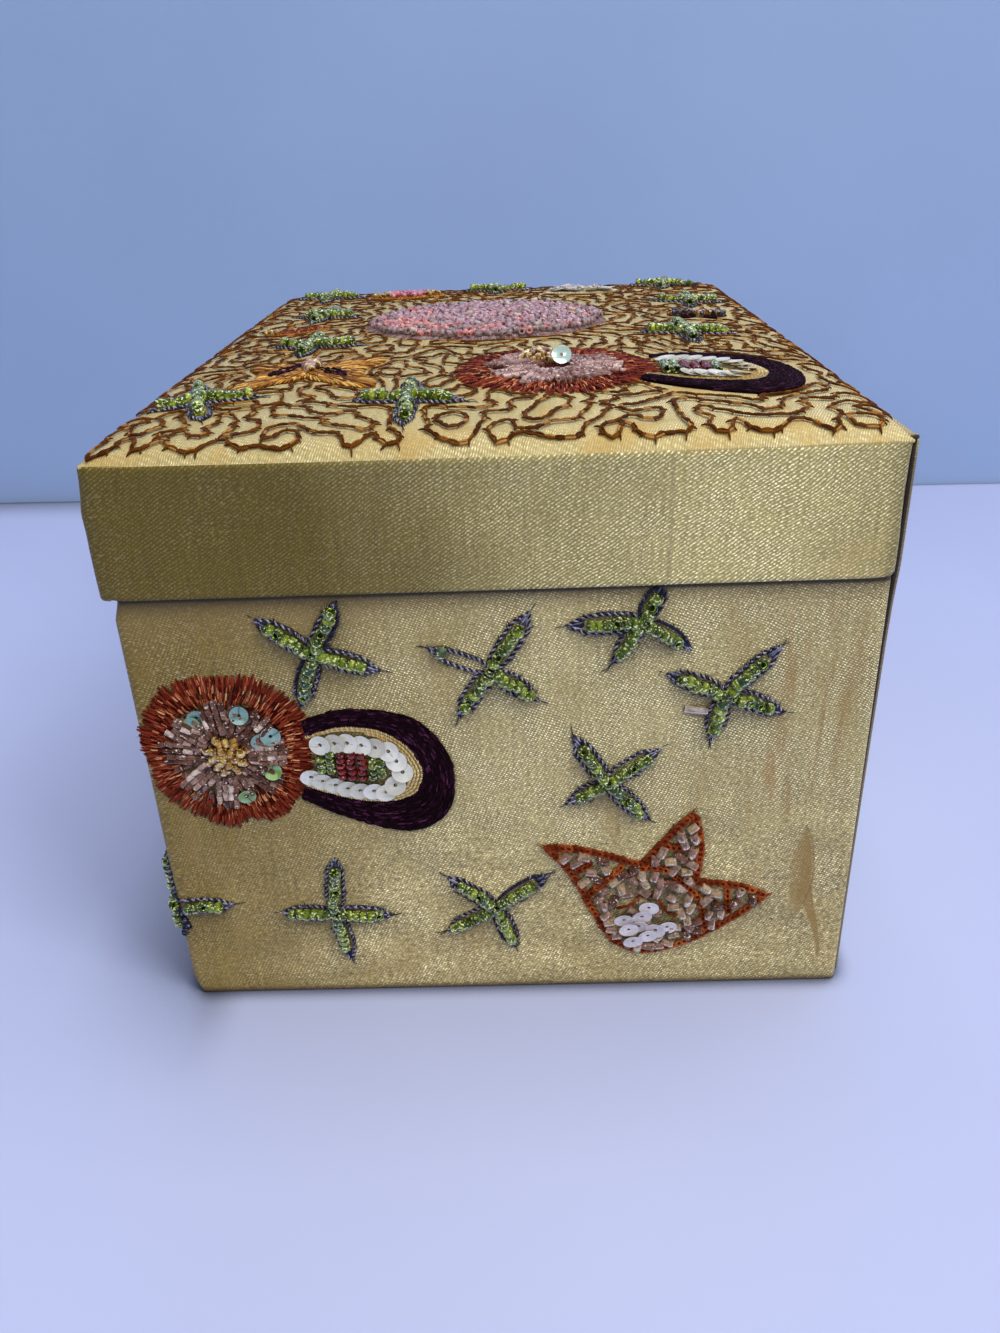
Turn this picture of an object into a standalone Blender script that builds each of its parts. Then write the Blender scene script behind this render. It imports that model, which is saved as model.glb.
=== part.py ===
# Beaded satin jewelry box: a card-and-cloth box with a padded, embroidered lid hinged
# along its right long side.  Units are metres, +Z up.
# The origin is the centre of the underside.  -Y is the short end with the flower, +X is the hinge side.
import bpy
import bmesh
from math import sin, cos, pi, radians, exp, atan2, hypot
from mathutils import Vector

MM = 0.001

# ------------------------------------------------------------------ driving sizes, in millimetres
LID_HX = 76.0            # half width of the lid, outside
LID_HY = 102.5           # half depth of the lid, outside
LID_EDGE_Z = 129.0       # height of the lid's top edge
SKIRT_Z = 102.5          # lower edge of the lid's skirt
BASE_HX = 74.4           # left wall, outside, from the middle
BASE_HY = 101.0          # front and back walls, outside, from the middle
BASE_XR0 = 75.7          # right wall, outside, at the table
WALL_LEAN = 0.2          # the right wall leans out by this much at the rim
RIM_Z = 125.0            # top of the base walls
GAP = 0.25               # between glued layers
CLOTH = 0.4              # satin with its glue layer
BOARD = 2.0              # wall card
SKIRT_CARD = 0.6         # thin card in the skirt
LINING = 0.6             # lined card inside
CORNER_R = 1.2           # rounding of the covered corners
UNDERSIDE = 0.5          # sheet under the floor
PAD_H = 4.0              # floor pad

PANEL_CARD = 0.9         # hinge panel card
PANEL_IN0 = 76.1         # inner face of the hinge panel at the table
PANEL_LEAN = 0.4         # the hinge panel leans out by this much at the lid edge
PANEL_TOP_Z = 128.5
PANEL_HALF = 97.1        # half the panel's length: it stops short of the box's corners

HINGE_X = 77.4           # the cloth hinge line, at the outer top corner
HINGE_Z = 128.9

CROWN_SHOULDER = 3.0     # quick rise of the padding at the edges
CROWN_MIDDLE = 2.5       # slow rise towards the middle
SHOULDER_LEN = 2.2

LAY_GAP = 0.3            # motifs lie this far off the satin
STAR_H = 1.8             # bead height of a star
FLAT_H = 1.2             # embroidery with sequins


def wall_x(z):
    """Outer face of the leaning right wall at height z."""
    return BASE_XR0 + WALL_LEAN * z / RIM_Z


def panel_x(z):
    """Inner face of the leaning hinge panel at height z."""
    return PANEL_IN0 + PANEL_LEAN * z / LID_EDGE_Z


def crown(x, y):
    """Height of the padded top above the lid's edge."""
    a = max(LID_HX - abs(x), 0.0)
    b = max(LID_HY - abs(y), 0.0)
    sa = 1.0 - exp(-a / SHOULDER_LEN)
    sb = 1.0 - exp(-b / SHOULDER_LEN)
    u = min(abs(x) / LID_HX, 1.0)
    v = min(abs(y) / LID_HY, 1.0)
    return CROWN_SHOULDER * sa * sb + CROWN_MIDDLE * ((1 - u * u) * (1 - v * v)) ** 0.8


# ------------------------------------------------------------------ scene helpers
for ob in list(bpy.data.objects):
    bpy.data.objects.remove(ob, do_unlink=True)


def material(name, rgb, rough, metal=0.0, sheen=0.0, trans=0.0):
    mat = bpy.data.materials.new(name)
    mat.use_nodes = True
    p = mat.node_tree.nodes["Principled BSDF"]
    p.inputs["Base Color"].default_value = (*rgb, 1.0)
    p.inputs["Roughness"].default_value = rough
    p.inputs["Metallic"].default_value = metal
    p.inputs["Sheen Weight"].default_value = sheen
    p.inputs["Transmission Weight"].default_value = trans
    mat.diffuse_color = (*rgb, 1.0)
    return mat


CARD = (0.42, 0.35, 0.26)
SATIN = (0.62, 0.49, 0.22)

lid_axis = bpy.data.objects.new("lid_hinge_axis", None)
lid_axis.location = Vector((HINGE_X, 0.0, HINGE_Z)) * MM
bpy.context.scene.collection.objects.link(lid_axis)


def place(name, bm, mat, on_lid=False):
    """Turn a bmesh in box coordinates (mm) into an object with its origin at its own middle."""
    bmesh.ops.recalc_face_normals(bm, faces=bm.faces)
    lo = [min(v.co[i] for v in bm.verts) for i in range(3)]
    hi = [max(v.co[i] for v in bm.verts) for i in range(3)]
    mid = Vector([(a + b) / 2 for a, b in zip(lo, hi)])
    for v in bm.verts:
        v.co = (v.co - mid) * MM
    mesh = bpy.data.meshes.new(name)
    bm.to_mesh(mesh)
    bm.free()
    ob = bpy.data.objects.new(name, mesh)
    bpy.context.scene.collection.objects.link(ob)
    ob.data.materials.append(mat)
    if on_lid:
        ob.parent = lid_axis
        ob.location = mid * MM - Vector((HINGE_X, 0.0, HINGE_Z)) * MM
    else:
        ob.location = mid * MM
    return ob


def loft(name, low, high, mat, on_lid=False):
    """A closed solid between two rings of points with the same count: boards, sheets and motifs."""
    bm = bmesh.new()
    a = [bm.verts.new(p) for p in low]
    b = [bm.verts.new(p) for p in high]
    n = len(a)
    bm.faces.new(a)
    bm.faces.new(b)
    for i in range(n):
        j = (i + 1) % n
        bm.faces.new((a[i], a[j], b[j], b[i]))
    return place(name, bm, mat, on_lid)


def tube_wall(name, outer, inner, z0, z1, mat, on_lid=False):
    """A sleeve: outer(z) and inner(z) give the two outlines at a height."""
    bm = bmesh.new()
    rings = [[bm.verts.new((x, y, z)) for x, y in f(z)] for f, z in
             ((outer, z0), (outer, z1), (inner, z1), (inner, z0))]
    n = len(rings[0])
    for k in range(4):
        r, s = rings[k], rings[(k + 1) % 4]
        for i in range(n):
            j = (i + 1) % n
            bm.faces.new((r[i], r[j], s[j], s[i]))
    return place(name, bm, mat, on_lid)


def board(name, x0, x1, y0, y1, z0, z1, mat, on_lid=False):
    """A flat card.  x0 and x1 may be functions of z, for edges that follow the leaning wall."""
    fx0 = x0 if callable(x0) else (lambda z: x0)
    fx1 = x1 if callable(x1) else (lambda z: x1)
    ring = lambda z: [(fx0(z), y0, z), (fx1(z), y0, z), (fx1(z), y1, z), (fx0(z), y1, z)]
    return loft(name, ring(z0), ring(z1), mat, on_lid)


def rounded(x0, x1, y0, y1, r, steps=4):
    """Outline of a rectangle with rounded corners, counter-clockwise."""
    pts = []
    for cx, cy, a0 in ((x1 - r, y0 + r, -90), (x1 - r, y1 - r, 0), (x0 + r, y1 - r, 90), (x0 + r, y0 + r, 180)):
        for k in range(steps + 1):
            t = radians(a0 + 90 * k / steps)
            pts.append((cx + r * cos(t), cy + r * sin(t)))
    return pts


# ------------------------------------------------------------------ base
IN_L = -BASE_HX + CLOTH + GAP                       # outer face of the left card
IN_Y = BASE_HY - CLOTH - GAP                        # outer face of the front and back cards
in_r = lambda z: wall_x(z) - CLOTH - GAP            # outer face of the right card
FLOOR_Z0 = UNDERSIDE + GAP
FLOOR_Z1 = FLOOR_Z0 + BOARD

loft("base_underside",
     [(x, y, 0.0) for x, y in rounded(IN_L + 0.2, in_r(0) - 0.2, -IN_Y, IN_Y, CORNER_R)],
     [(x, y, UNDERSIDE) for x, y in rounded(IN_L + 0.2, in_r(0) - 0.2, -IN_Y, IN_Y, CORNER_R)],
     material("underside_cloth", (0.36, 0.28, 0.14), 0.85))

card = material("card", CARD, 0.9)
board("base_front_board", IN_L, in_r, -IN_Y, -IN_Y + BOARD, FLOOR_Z0, RIM_Z, card)
board("base_back_board", IN_L, in_r, IN_Y - BOARD, IN_Y, FLOOR_Z0, RIM_Z, material("card_back", CARD, 0.9))
SIDE_Y = IN_Y - BOARD - GAP
board("base_left_board", IN_L, IN_L + BOARD, -SIDE_Y, SIDE_Y, FLOOR_Z0, RIM_Z, material("card_left", CARD, 0.9))
board("base_right_board", lambda z: in_r(z) - BOARD, in_r, -SIDE_Y, SIDE_Y, FLOOR_Z0, RIM_Z,
      material("card_right", CARD, 0.9))
board("base_floor_board", IN_L + BOARD + GAP, in_r(0) - BOARD - GAP, -SIDE_Y, SIDE_Y, FLOOR_Z0, FLOOR_Z1,
      material("card_floor", CARD, 0.9))

tube_wall("base_cover",
          lambda z: rounded(-BASE_HX, wall_x(z), -BASE_HY, BASE_HY, CORNER_R),
          lambda z: rounded(-BASE_HX + CLOTH, wall_x(z) - CLOTH, -BASE_HY + CLOTH, BASE_HY - CLOTH, CORNER_R - CLOTH),
          0.3, RIM_Z + 0.15, material("satin_base", SATIN, 0.42, 0.15, 0.3))

# hinge side: a thin card as tall as the closed box, glued to the base low down and leaning away above
panel_in = panel_x
panel_out = lambda z: panel_x(z) + PANEL_CARD
board("hinge_panel_board", panel_in, panel_out, -PANEL_HALF, PANEL_HALF, 0.4, PANEL_TOP_Z,
      material("card_panel", CARD, 0.9))
board("hinge_panel_cover", lambda z: panel_out(z) + 0.2, lambda z: panel_out(z) + 0.5, -PANEL_HALF - 0.3, PANEL_HALF + 0.3,
      0.3, 117.0, material("satin_panel", SATIN, 0.42, 0.15, 0.3))
board("hinge_cloth", lambda z: panel_out(z) + 0.2, lambda z: panel_out(z) + 0.6, -PANEL_HALF - 0.3, PANEL_HALF + 0.3,
      117.3, PANEL_TOP_Z, material("satin_hinge", SATIN, 0.42, 0.15, 0.3))

# lining cards inside
LIN_Z0 = FLOOR_Z1 + GAP
LIN_Z1 = RIM_Z - 0.2
LIN_Y = SIDE_Y
lin_mat = lambda n: material(n, (0.50, 0.39, 0.19), 0.55, 0.05, 0.3)
room_l = IN_L + BOARD + GAP                         # inner face of the left card
room_r = lambda z: in_r(z) - BOARD - GAP            # inner face of the right card
board("lining_front", room_l, room_r, -LIN_Y, -LIN_Y + LINING, LIN_Z0, LIN_Z1, lin_mat("lining_front"))
board("lining_back", room_l, room_r, LIN_Y - LINING, LIN_Y, LIN_Z0, LIN_Z1, lin_mat("lining_back"))
LS_Y = LIN_Y - LINING - GAP
board("lining_left", room_l, room_l + LINING, -LS_Y, LS_Y, LIN_Z0, LIN_Z1, lin_mat("lining_left"))
board("lining_right", lambda z: room_r(z) - LINING, room_r, -LS_Y, LS_Y, LIN_Z0, LIN_Z1, lin_mat("lining_right"))

# floor pad: a soft flat cushion with rounded edges
px0, px1 = room_l + LINING + GAP, room_r(LIN_Z0) - LINING - GAP
py = LS_Y - 0.1
bm = bmesh.new()
levels = ((LIN_Z0, 1.2), (LIN_Z0 + 1.2, 0.0), (LIN_Z0 + 2.4, 0.0), (LIN_Z0 + 3.5, 1.6), (LIN_Z0 + PAD_H, 6.0))
rings = [[bm.verts.new((x, y, z)) for x, y in rounded(px0 + i, px1 - i, -py + i, py - i, 4.0, 3)] for z, i in levels]
for a, b in zip(rings, rings[1:]):
    for i in range(len(a)):
        j = (i + 1) % len(a)
        bm.faces.new((a[i], a[j], b[j], b[i]))
bm.faces.new(rings[0])
bm.faces.new(rings[-1])
place("floor_pad", bm, material("pad_satin", (0.50, 0.39, 0.19), 0.55, 0.05, 0.3))

# ------------------------------------------------------------------ lid
SK_OUT_X = LID_HX - CLOTH - GAP                     # outer face of the skirt cards
SK_OUT_Y = LID_HY - CLOTH - GAP
SK_IN_X = SK_OUT_X - SKIRT_CARD
SK_IN_Y = SK_OUT_Y - SKIRT_CARD
LID_BOARD_Z0, LID_BOARD_Z1 = 126.0, 128.0
LID_RIGHT = 75.9                                    # right edge of the lid board, short of the hinge panel
SK_Z0, SK_Z1 = SKIRT_Z + 0.3, 127.95

board("lid_top_board", -SK_IN_X + GAP, LID_RIGHT, -SK_IN_Y + GAP, SK_IN_Y - GAP, LID_BOARD_Z0, LID_BOARD_Z1,
      material("card_lid", CARD, 0.9), True)
board("lid_front_skirt_board", -SK_OUT_X, 75.6, -SK_OUT_Y, -SK_IN_Y, SK_Z0, SK_Z1, material("card_sk_f", CARD, 0.9), True)
board("lid_back_skirt_board", -SK_OUT_X, 75.6, SK_IN_Y, SK_OUT_Y, SK_Z0, SK_Z1, material("card_sk_b", CARD, 0.9), True)
board("lid_left_skirt_board", -SK_OUT_X, -SK_IN_X, -SK_IN_Y + GAP, SK_IN_Y - GAP, SK_Z0, SK_Z1,
      material("card_sk_l", CARD, 0.9), True)
board("lid_lining", -SK_IN_X + GAP, 75.0, -SK_IN_Y + GAP, SK_IN_Y - GAP, RIM_Z + 0.4, LID_BOARD_Z0 - 0.2,
      lin_mat("lining_lid"), True)


def band_outline():
    """The skirt's satin band seen from above: a U that is open on the hinge side."""
    out, inn = [], []
    for (hx, hy, r), dest in (((LID_HX, LID_HY, CORNER_R), out), ((LID_HX - CLOTH, LID_HY - CLOTH, CORNER_R - CLOTH), inn)):
        dest.append((LID_HX, hy))
        for cx, cy, a0 in ((-hx + r, hy - r, 90), (-hx + r, -hy + r, 180)):
            for k in range(5):
                t = radians(a0 + 90 * k / 4)
                dest.append((cx + r * cos(t), cy + r * sin(t)))
        dest.append((LID_HX, -hy))
    return out + inn[::-1]


ol = band_outline()
loft("lid_skirt_band", [(x, y, SKIRT_Z) for x, y in ol], [(x, y, LID_EDGE_Z - 0.7) for x, y in ol],
     material("satin_band", (0.60, 0.48, 0.24), 0.40, 0.15, 0.3), True)


def lines(half, steps):
    """Grid lines that crowd towards the edges, where the padding turns over."""
    return [-half + s for s in steps] + [half - s for s in reversed(steps)]


def crowned(name, xs, ys, top, low, mat):
    """A sheet or pad whose top is crowned; top(x, y) and low(x, y) give its two faces."""
    bm = bmesh.new()
    up = [[bm.verts.new((x, y, top(x, y))) for x in xs] for y in ys]
    dn = [[bm.verts.new((x, y, low(x, y))) for x in xs] for y in ys]
    ny, nx = len(ys), len(xs)
    for j in range(ny - 1):
        for i in range(nx - 1):
            bm.faces.new((up[j][i], up[j][i + 1], up[j + 1][i + 1], up[j + 1][i]))
            bm.faces.new((dn[j][i], dn[j + 1][i], dn[j + 1][i + 1], dn[j][i + 1]))
    rim = [(0, i) for i in range(nx)] + [(j, nx - 1) for j in range(1, ny)] + \
          [(ny - 1, i) for i in range(nx - 2, -1, -1)] + [(j, 0) for j in range(ny - 2, 0, -1)]
    for k in range(len(rim)):
        (j0, i0), (j1, i1) = rim[k], rim[(k + 1) % len(rim)]
        bm.faces.new((up[j0][i0], dn[j0][i0], dn[j1][i1], up[j1][i1]))
    return place(name, bm, mat, True)


cover_top = lambda x, y: LID_EDGE_Z + crown(x, y)
cx_lines = lines(LID_HX, (0.0, 1.2, 3.0, 6.0, 14.0, 34.0, 58.0))
cx_lines.append(LID_HX + 0.8)                       # the cloth carries on past the edge to the hinge
cy_lines = lines(LID_HY, (0.0, 1.2, 3.0, 6.0, 14.0, 34.0, 58.0, 82.0))
crowned("lid_top_cover", cx_lines, cy_lines, cover_top, lambda x, y: cover_top(x, y) - CLOTH,
        material("satin_top", SATIN, 0.45, 0.15, 0.3))
px_lines = lines(74.4, (0.0, 1.8, 5.0, 13.0, 33.0, 57.0))
py_lines = lines(100.9, (0.0, 1.8, 5.0, 13.0, 33.0, 57.0, 81.0))
crowned("lid_padding", px_lines, py_lines, lambda x, y: LID_EDGE_Z + 0.93 * crown(x, y) - CLOTH - 0.45,
        lambda x, y: LID_BOARD_Z1 + GAP, material("wadding", (0.80, 0.78, 0.72), 0.95))

# ------------------------------------------------------------------ sewn-on motifs
# A face gives the frame that a motif lies on: (u, v, h) -> box coordinates, h out of the satin.


def on_front(u, v, h):
    return (u, -BASE_HY - h, v)


def on_back(u, v, h):
    return (-u, BASE_HY + h, v)


def on_left(u, v, h):
    return (-BASE_HX - h, -u, v)


def on_top(u, v, h):
    return (u, v, LID_EDGE_Z + crown(u, v) + h)


def star_outline(arms, half_w=1.5, waist=1.7):
    """Four leaf-shaped lobes: arms is a list of (length, direction in degrees)."""
    arms = sorted(arms, key=lambda a: a[1] % 360)
    pts = []
    for k, (ln, deg) in enumerate(arms):
        nxt = arms[(k + 1) % len(arms)][1]
        d = radians(deg)
        for along, side in ((0.45, -1), (0.8, -0.75), (1.0, 0), (0.8, 0.75), (0.45, 1)):
            pts.append((ln * along * cos(d) - side * half_w * sin(d), ln * along * sin(d) + side * half_w * cos(d)))
        m = radians(deg + ((nxt - deg) % 360) / 2)
        pts.append((waist * cos(m), waist * sin(m)))
    return pts


def motif(name, outline, face, rgb, height, on_lid=False, lift=LAY_GAP, rough=0.35, trans=0.0):
    return loft(name, [face(u, v, lift) for u, v in outline], [face(u, v, lift + height) for u, v in outline],
                material("m_" + name, rgb, rough, 0.0, 0.0, trans), on_lid)


def star(name, u, v, arms, face, on_lid=False):
    return motif(name, [(u + a, v + b) for a, b in star_outline(arms)], face, (0.30, 0.42, 0.06), STAR_H, on_lid,
                 LAY_GAP + (0.1 if on_lid else 0.0), 0.25)


def ring(cu, cv, a, b, tilt=0.0, n=24, waves=0, amp=0.0, phase=0.0):
    """An oval outline, optionally scalloped."""
    t0 = radians(tilt)
    pts = []
    for k in range(n):
        t = 2 * pi * k / n
        s = 1 + amp * cos(waves * t + phase)
        x, y = a * s * cos(t), b * s * sin(t)
        pts.append((cu + x * cos(t0) - y * sin(t0), cv + x * sin(t0) + y * cos(t0)))
    return pts


def keep_off(pts, cu, cv, r):
    """Push an outline out of a round neighbour, so that the two meet without overlapping."""
    out = []
    for u, v in pts:
        d = hypot(u - cu, v - cv)
        if d < r:
            u, v = cu + (u - cu) * r / d, cv + (v - cv) * r / d
        out.append((u, v))
    return out


# front: seven stars on the face, from top left to bottom right
star("front_star_1", -37.2, 89.3, ((12.0, 146), (11.4, 63), (12.6, -18), (11.4, -112)), on_front)
star("front_star_2", -1.9, 84.6, ((12.4, 159), (13.6, 61), (11.2, -35), (11.8, -121)), on_front)
star("front_star_3", 28.4, 93.4, ((13.2, 180), (8.2, 65), (11.0, -35), (10.4, -122)), on_front)
star("front_star_4", 45.1, 76.8, ((11.8, 154), (13.8, 43), (12.4, -16), (10.4, -103)), on_front)
star("front_star_5", 21.8, 56.5, ((12.0, 120), (12.4, 38), (12.4, -48), (9.8, -150)), on_front)
star("front_star_6", -39.7, 23.6, ((14.4, 85), (11.8, -5), (13.0, -81), (11.4, 179)), on_front)
star("front_star_7", -2.9, 24.4, ((12.6, 139), (13.4, 35), (12.0, -75), (12.4, -149)), on_front)

# front: the eighth star is folded round the left corner.  It is laid out flat with u running
# along the front to the right, and what lies left of the corner turns onto the left side.


def round_corner(u, v, h):
    s = u + BASE_HX - CORNER_R                      # distance past the start of the rounding
    if s >= 0:
        return on_front(u, v, h)
    arc = CORNER_R * pi / 2
    t = min(-s / arc, 1.0) * pi / 2
    cx, cy = -BASE_HX + CORNER_R, -BASE_HY + CORNER_R
    r = CORNER_R + h
    x, y = cx - r * sin(t), cy - r * cos(t)
    if -s > arc:
        y += -s - arc
    return (x, y, v)


def corner_star(name, u, v, reach_right, reach_left, up, down, height):
    """A star across the corner, cut in strips so that it bends with the cloth."""
    def half_w(d):
        k = abs(d)
        return 1.5 if k < 0.55 else 1.5 * (1 - (k - 0.55) / 0.47)
    us = [u + reach_right * k for k in (1.0, 0.8, 0.55, 0.3, 0.12)]
    us += [u + 1.5, u + 0.5, u - 0.5, u - 1.5]
    us += [u - reach_left * k for k in (0.3, 0.55, 0.8, 1.0)]
    us += [-BASE_HX + CORNER_R, -BASE_HX + CORNER_R - CORNER_R * pi / 4, -BASE_HX + CORNER_R - CORNER_R * pi / 2]
    us = sorted(set(round(a, 4) for a in us), reverse=True)
    top, bot = [], []
    for a in us:
        d = (a - u) / (reach_right if a > u else reach_left)
        w = max(half_w(d), 0.08)
        if abs(a - u) <= 0.5 + 1e-6:
            top.append((a, v + up)); bot.append((a, v - down))
        elif abs(a - u) <= 1.5 + 1e-6:
            top.append((a, v + 0.55 * up)); bot.append((a, v - 0.55 * down))
        else:
            top.append((a, v + w)); bot.append((a, v - w))
    bm = bmesh.new()
    grid = [[bm.verts.new(round_corner(p[0], p[1], h)) for p in row]
            for row, h in ((top, LAY_GAP), (bot, LAY_GAP), (bot, LAY_GAP + height), (top, LAY_GAP + height))]
    n = len(us)
    for k in range(4):
        a, b = grid[k], grid[(k + 1) % 4]
        for i in range(n - 1):
            bm.faces.new((a[i], a[i + 1], b[i + 1], b[i]))
    for i in (0, n - 1):
        bm.faces.new([grid[k][i] for k in range(4)])
    return place(name, bm, material("m_" + name, (0.30, 0.42, 0.06), 0.25))


corner_star("front_star_8", -76.0, 26.5, 12.6, 10.5, 14.0, 9.0, STAR_H)

# front: flower and paisley spray, and the rosebud
FLOWER = (-57.6, 66.6, 16.9)                        # centre and mean radius of the satin-stitch flower
motif("front_flower", ring(FLOWER[0], FLOWER[1], FLOWER[2], FLOWER[2], 0, 30, 5, 0.045, 0.6), on_front,
      (0.42, 0.10, 0.03), 1.7)
motif("front_paisley",
      keep_off(ring(-28.6, 61.2, 18.4, 14.6, -14, 28), FLOWER[0], FLOWER[1], FLOWER[2] * 1.045 + 0.35), on_front,
      (0.09, 0.02, 0.07), FLAT_H)
ROSEBUD = ((8.5, 40.4), (20.6, 38.6), (29.4, 35.0), (34.6, 42.0), (40.4, 48.2), (42.6, 38.6), (41.8, 30.0), (49.0, 29.4),
           (57.6, 25.8), (51.6, 20.4), (45.2, 16.0), (38.4, 12.3), (31.5, 10.6), (26.4, 11.8), (22.4, 15.6), (17.8, 25.0))
motif("front_rosebud", ROSEBUD, on_front, (0.45, 0.16, 0.06), FLAT_H)

# lid: nine stars on the crowned top
LID_STARS = ((-61.5, -70.0, ((10.0, -146), (15.2, 101), (12.4, 6), (15.6, -72))),
             (-16.8, -77.0, ((11.4, 178), (14.2, 93), (11.6, -15), (16.4, -86))),
             (-46.4, -15.0, ((11.4, 166), (13.4, 87), (12.4, -12), (12.4, -96))),
             (-51.0, 36.0, ((11.0, 158), (12.0, 74), (11.8, -20), (11.6, -104))),
             (-57.0, 84.0, ((11.8, 170), (11.4, 84), (12.2, -8), (11.6, -96))),
             (-1.0, 86.0, ((11.6, 174), (10.6, 92), (12.0, 4), (11.4, -90))),
             (56.0, 88.0, ((12.0, 176), (9.8, 78), (11.6, -6), (11.2, -100))),
             (57.0, 43.0, ((11.8, 168), (12.4, 88), (11.8, 2), (12.0, -92))),
             (48.0, -13.5, ((11.4, 174), (13.2, 95), (12.4, -2), (12.4, -84))))
for k, (u, v, arms) in enumerate(LID_STARS):
    star("lid_star_%d" % (k + 1), u, v, arms, on_top, True)

LID_LIFT = LAY_GAP + 0.1
LFLOWER = (13.4, -54.2, 20.4, 20.0)                  # centre, then half width and half depth
motif("lid_flower", ring(LFLOWER[0], LFLOWER[1], LFLOWER[2], LFLOWER[3], -8, 30, 5, 0.035, 0.3), on_top,
      (0.42, 0.10, 0.03), 1.7, True, LID_LIFT)
motif("lid_paisley", keep_off(ring(49.2, -60.6, 17.6, 18.6, -20, 30), LFLOWER[0], LFLOWER[1], 21.9), on_top,
      (0.09, 0.02, 0.07), FLAT_H, True, LID_LIFT)
# the butterfly, round its four wings, from the centre of its body
BUTTERFLY = ((-0.8, 6.0), (-7.2, 12.0), (-13.5, 13.7), (-15.4, 9.7), (-12.4, 2.8), (-11.0, -0.6), (-12.4, -3.8), (-15.4, -10.0),
             (-13.8, -14.6), (-7.0, -9.6), (-0.6, -4.4), (6.6, -10.2), (15.4, -16.2), (16.6, -12.0), (13.4, -5.0), (11.8, -1.0),
             (13.0, 3.2), (16.4, 10.4), (14.2, 14.6), (7.4, 11.8), (1.2, 6.0))
motif("lid_butterfly", [(-41.8 + a, -49.0 + b) for a, b in BUTTERFLY], on_top, (0.55, 0.30, 0.05), FLAT_H, True, LID_LIFT)
motif("lid_bead_oval", ring(-3.0, 12.5, 32.6, 29.6, -10, 30, 9, 0.02, 0.0), on_top, (0.62, 0.36, 0.36), 1.7, True, LID_LIFT)
motif("lid_small_leaf", ring(-55.0, 12.5, 8.0, 3.2, 14, 14), on_top, (0.55, 0.14, 0.04), FLAT_H, True, LID_LIFT)
motif("lid_bead_cluster", ring(-30.5, 79.0, 12.5, 6.5, -6, 18, 6, 0.06), on_top, (0.50, 0.12, 0.06), 1.5, True, LID_LIFT)
motif("lid_sequin_spray", ring(27.0, 74.0, 12.0, 7.0, 8, 18, 5, 0.05), on_top, (0.80, 0.78, 0.72), FLAT_H, True, LID_LIFT)
motif("lid_dark_sprig", ring(55.5, 15.0, 9.5, 5.5, -8, 18, 4, 0.12), on_top, (0.10, 0.04, 0.08), FLAT_H, True, LID_LIFT)

# left side and back: the same embroidered cloth carries on round the box
star("left_star_1", 52.0, 78.0, ((12.4, 150), (11.8, 58), (12.0, -28), (11.4, -118)), on_left)
star("left_star_2", -40.0, 84.0, ((12.0, 162), (12.6, 70), (12.2, -20), (11.8, -106)), on_left)
star("left_star_3", 34.0, 30.0, ((12.2, 140), (12.8, 48), (11.8, -40), (12.0, -130)), on_left)
motif("left_rosebud", [(a - 62.0, b + 12.0) for a, b in ROSEBUD], on_left, (0.45, 0.16, 0.06), FLAT_H)
star("back_star_1", -46.0, 82.0, ((12.2, 146), (12.4, 60), (12.0, -24), (11.6, -114)), on_back)
star("back_star_2", 46.0, 74.0, ((12.0, 156), (12.8, 66), (11.8, -30), (12.0, -120)), on_back)
star("back_star_3", -30.0, 26.0, ((12.6, 138), (12.0, 44), (12.4, -46), (11.6, -140)), on_back)
motif("back_flower", ring(18.0, 42.0, 16.4, 16.4, 0, 30, 5, 0.045, 1.1), on_back, (0.42, 0.10, 0.03), 1.7)
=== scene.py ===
from math import sin, cos, pi, radians, sqrt
import bpy
import numpy as np
from mathutils import Vector, Matrix, kdtree


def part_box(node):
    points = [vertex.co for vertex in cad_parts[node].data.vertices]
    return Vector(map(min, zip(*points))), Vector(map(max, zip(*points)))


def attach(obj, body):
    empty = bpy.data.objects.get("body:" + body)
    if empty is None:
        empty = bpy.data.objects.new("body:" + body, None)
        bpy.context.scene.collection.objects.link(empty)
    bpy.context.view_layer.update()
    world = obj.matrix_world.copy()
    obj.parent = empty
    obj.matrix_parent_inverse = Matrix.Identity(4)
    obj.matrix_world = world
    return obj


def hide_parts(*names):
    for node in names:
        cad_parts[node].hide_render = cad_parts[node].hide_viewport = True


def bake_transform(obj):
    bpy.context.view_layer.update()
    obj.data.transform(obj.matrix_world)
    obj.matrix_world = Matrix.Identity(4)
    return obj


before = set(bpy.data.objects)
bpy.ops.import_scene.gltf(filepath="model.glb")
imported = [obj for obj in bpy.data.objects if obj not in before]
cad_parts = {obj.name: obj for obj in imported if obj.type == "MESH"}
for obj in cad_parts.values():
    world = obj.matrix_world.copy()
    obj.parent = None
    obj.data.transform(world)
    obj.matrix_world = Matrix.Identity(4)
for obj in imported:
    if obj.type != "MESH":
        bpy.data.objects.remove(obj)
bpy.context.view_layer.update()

MM = 0.001
rng = np.random.default_rng(7)

# ------------------------------------------------------------------ sizes shared with the frame, in millimetres
LID_HX, LID_HY, LID_Z, SKIRT_Z = 76.0, 102.5, 129.0, 102.5
BASE_HX, BASE_HY, BASE_XR0, LEAN, RIM_Z, CORNER = 74.4, 101.0, 75.7, 0.2, 125.0, 1.2


# ------------------------------------------------------------------ the faces that cloth and beads lie on
# A face takes (u, v, h): across, up and out of the cloth, all in millimetres, as numpy arrays.
def crown(x, y):
    a = np.maximum(LID_HX - np.abs(x), 0.0)
    b = np.maximum(LID_HY - np.abs(y), 0.0)
    u = np.minimum(np.abs(x) / LID_HX, 1.0)
    v = np.minimum(np.abs(y) / LID_HY, 1.0)
    return 3.0 * (1 - np.exp(-a / 2.2)) * (1 - np.exp(-b / 2.2)) + 2.5 * ((1 - u * u) * (1 - v * v)) ** 0.8


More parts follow.
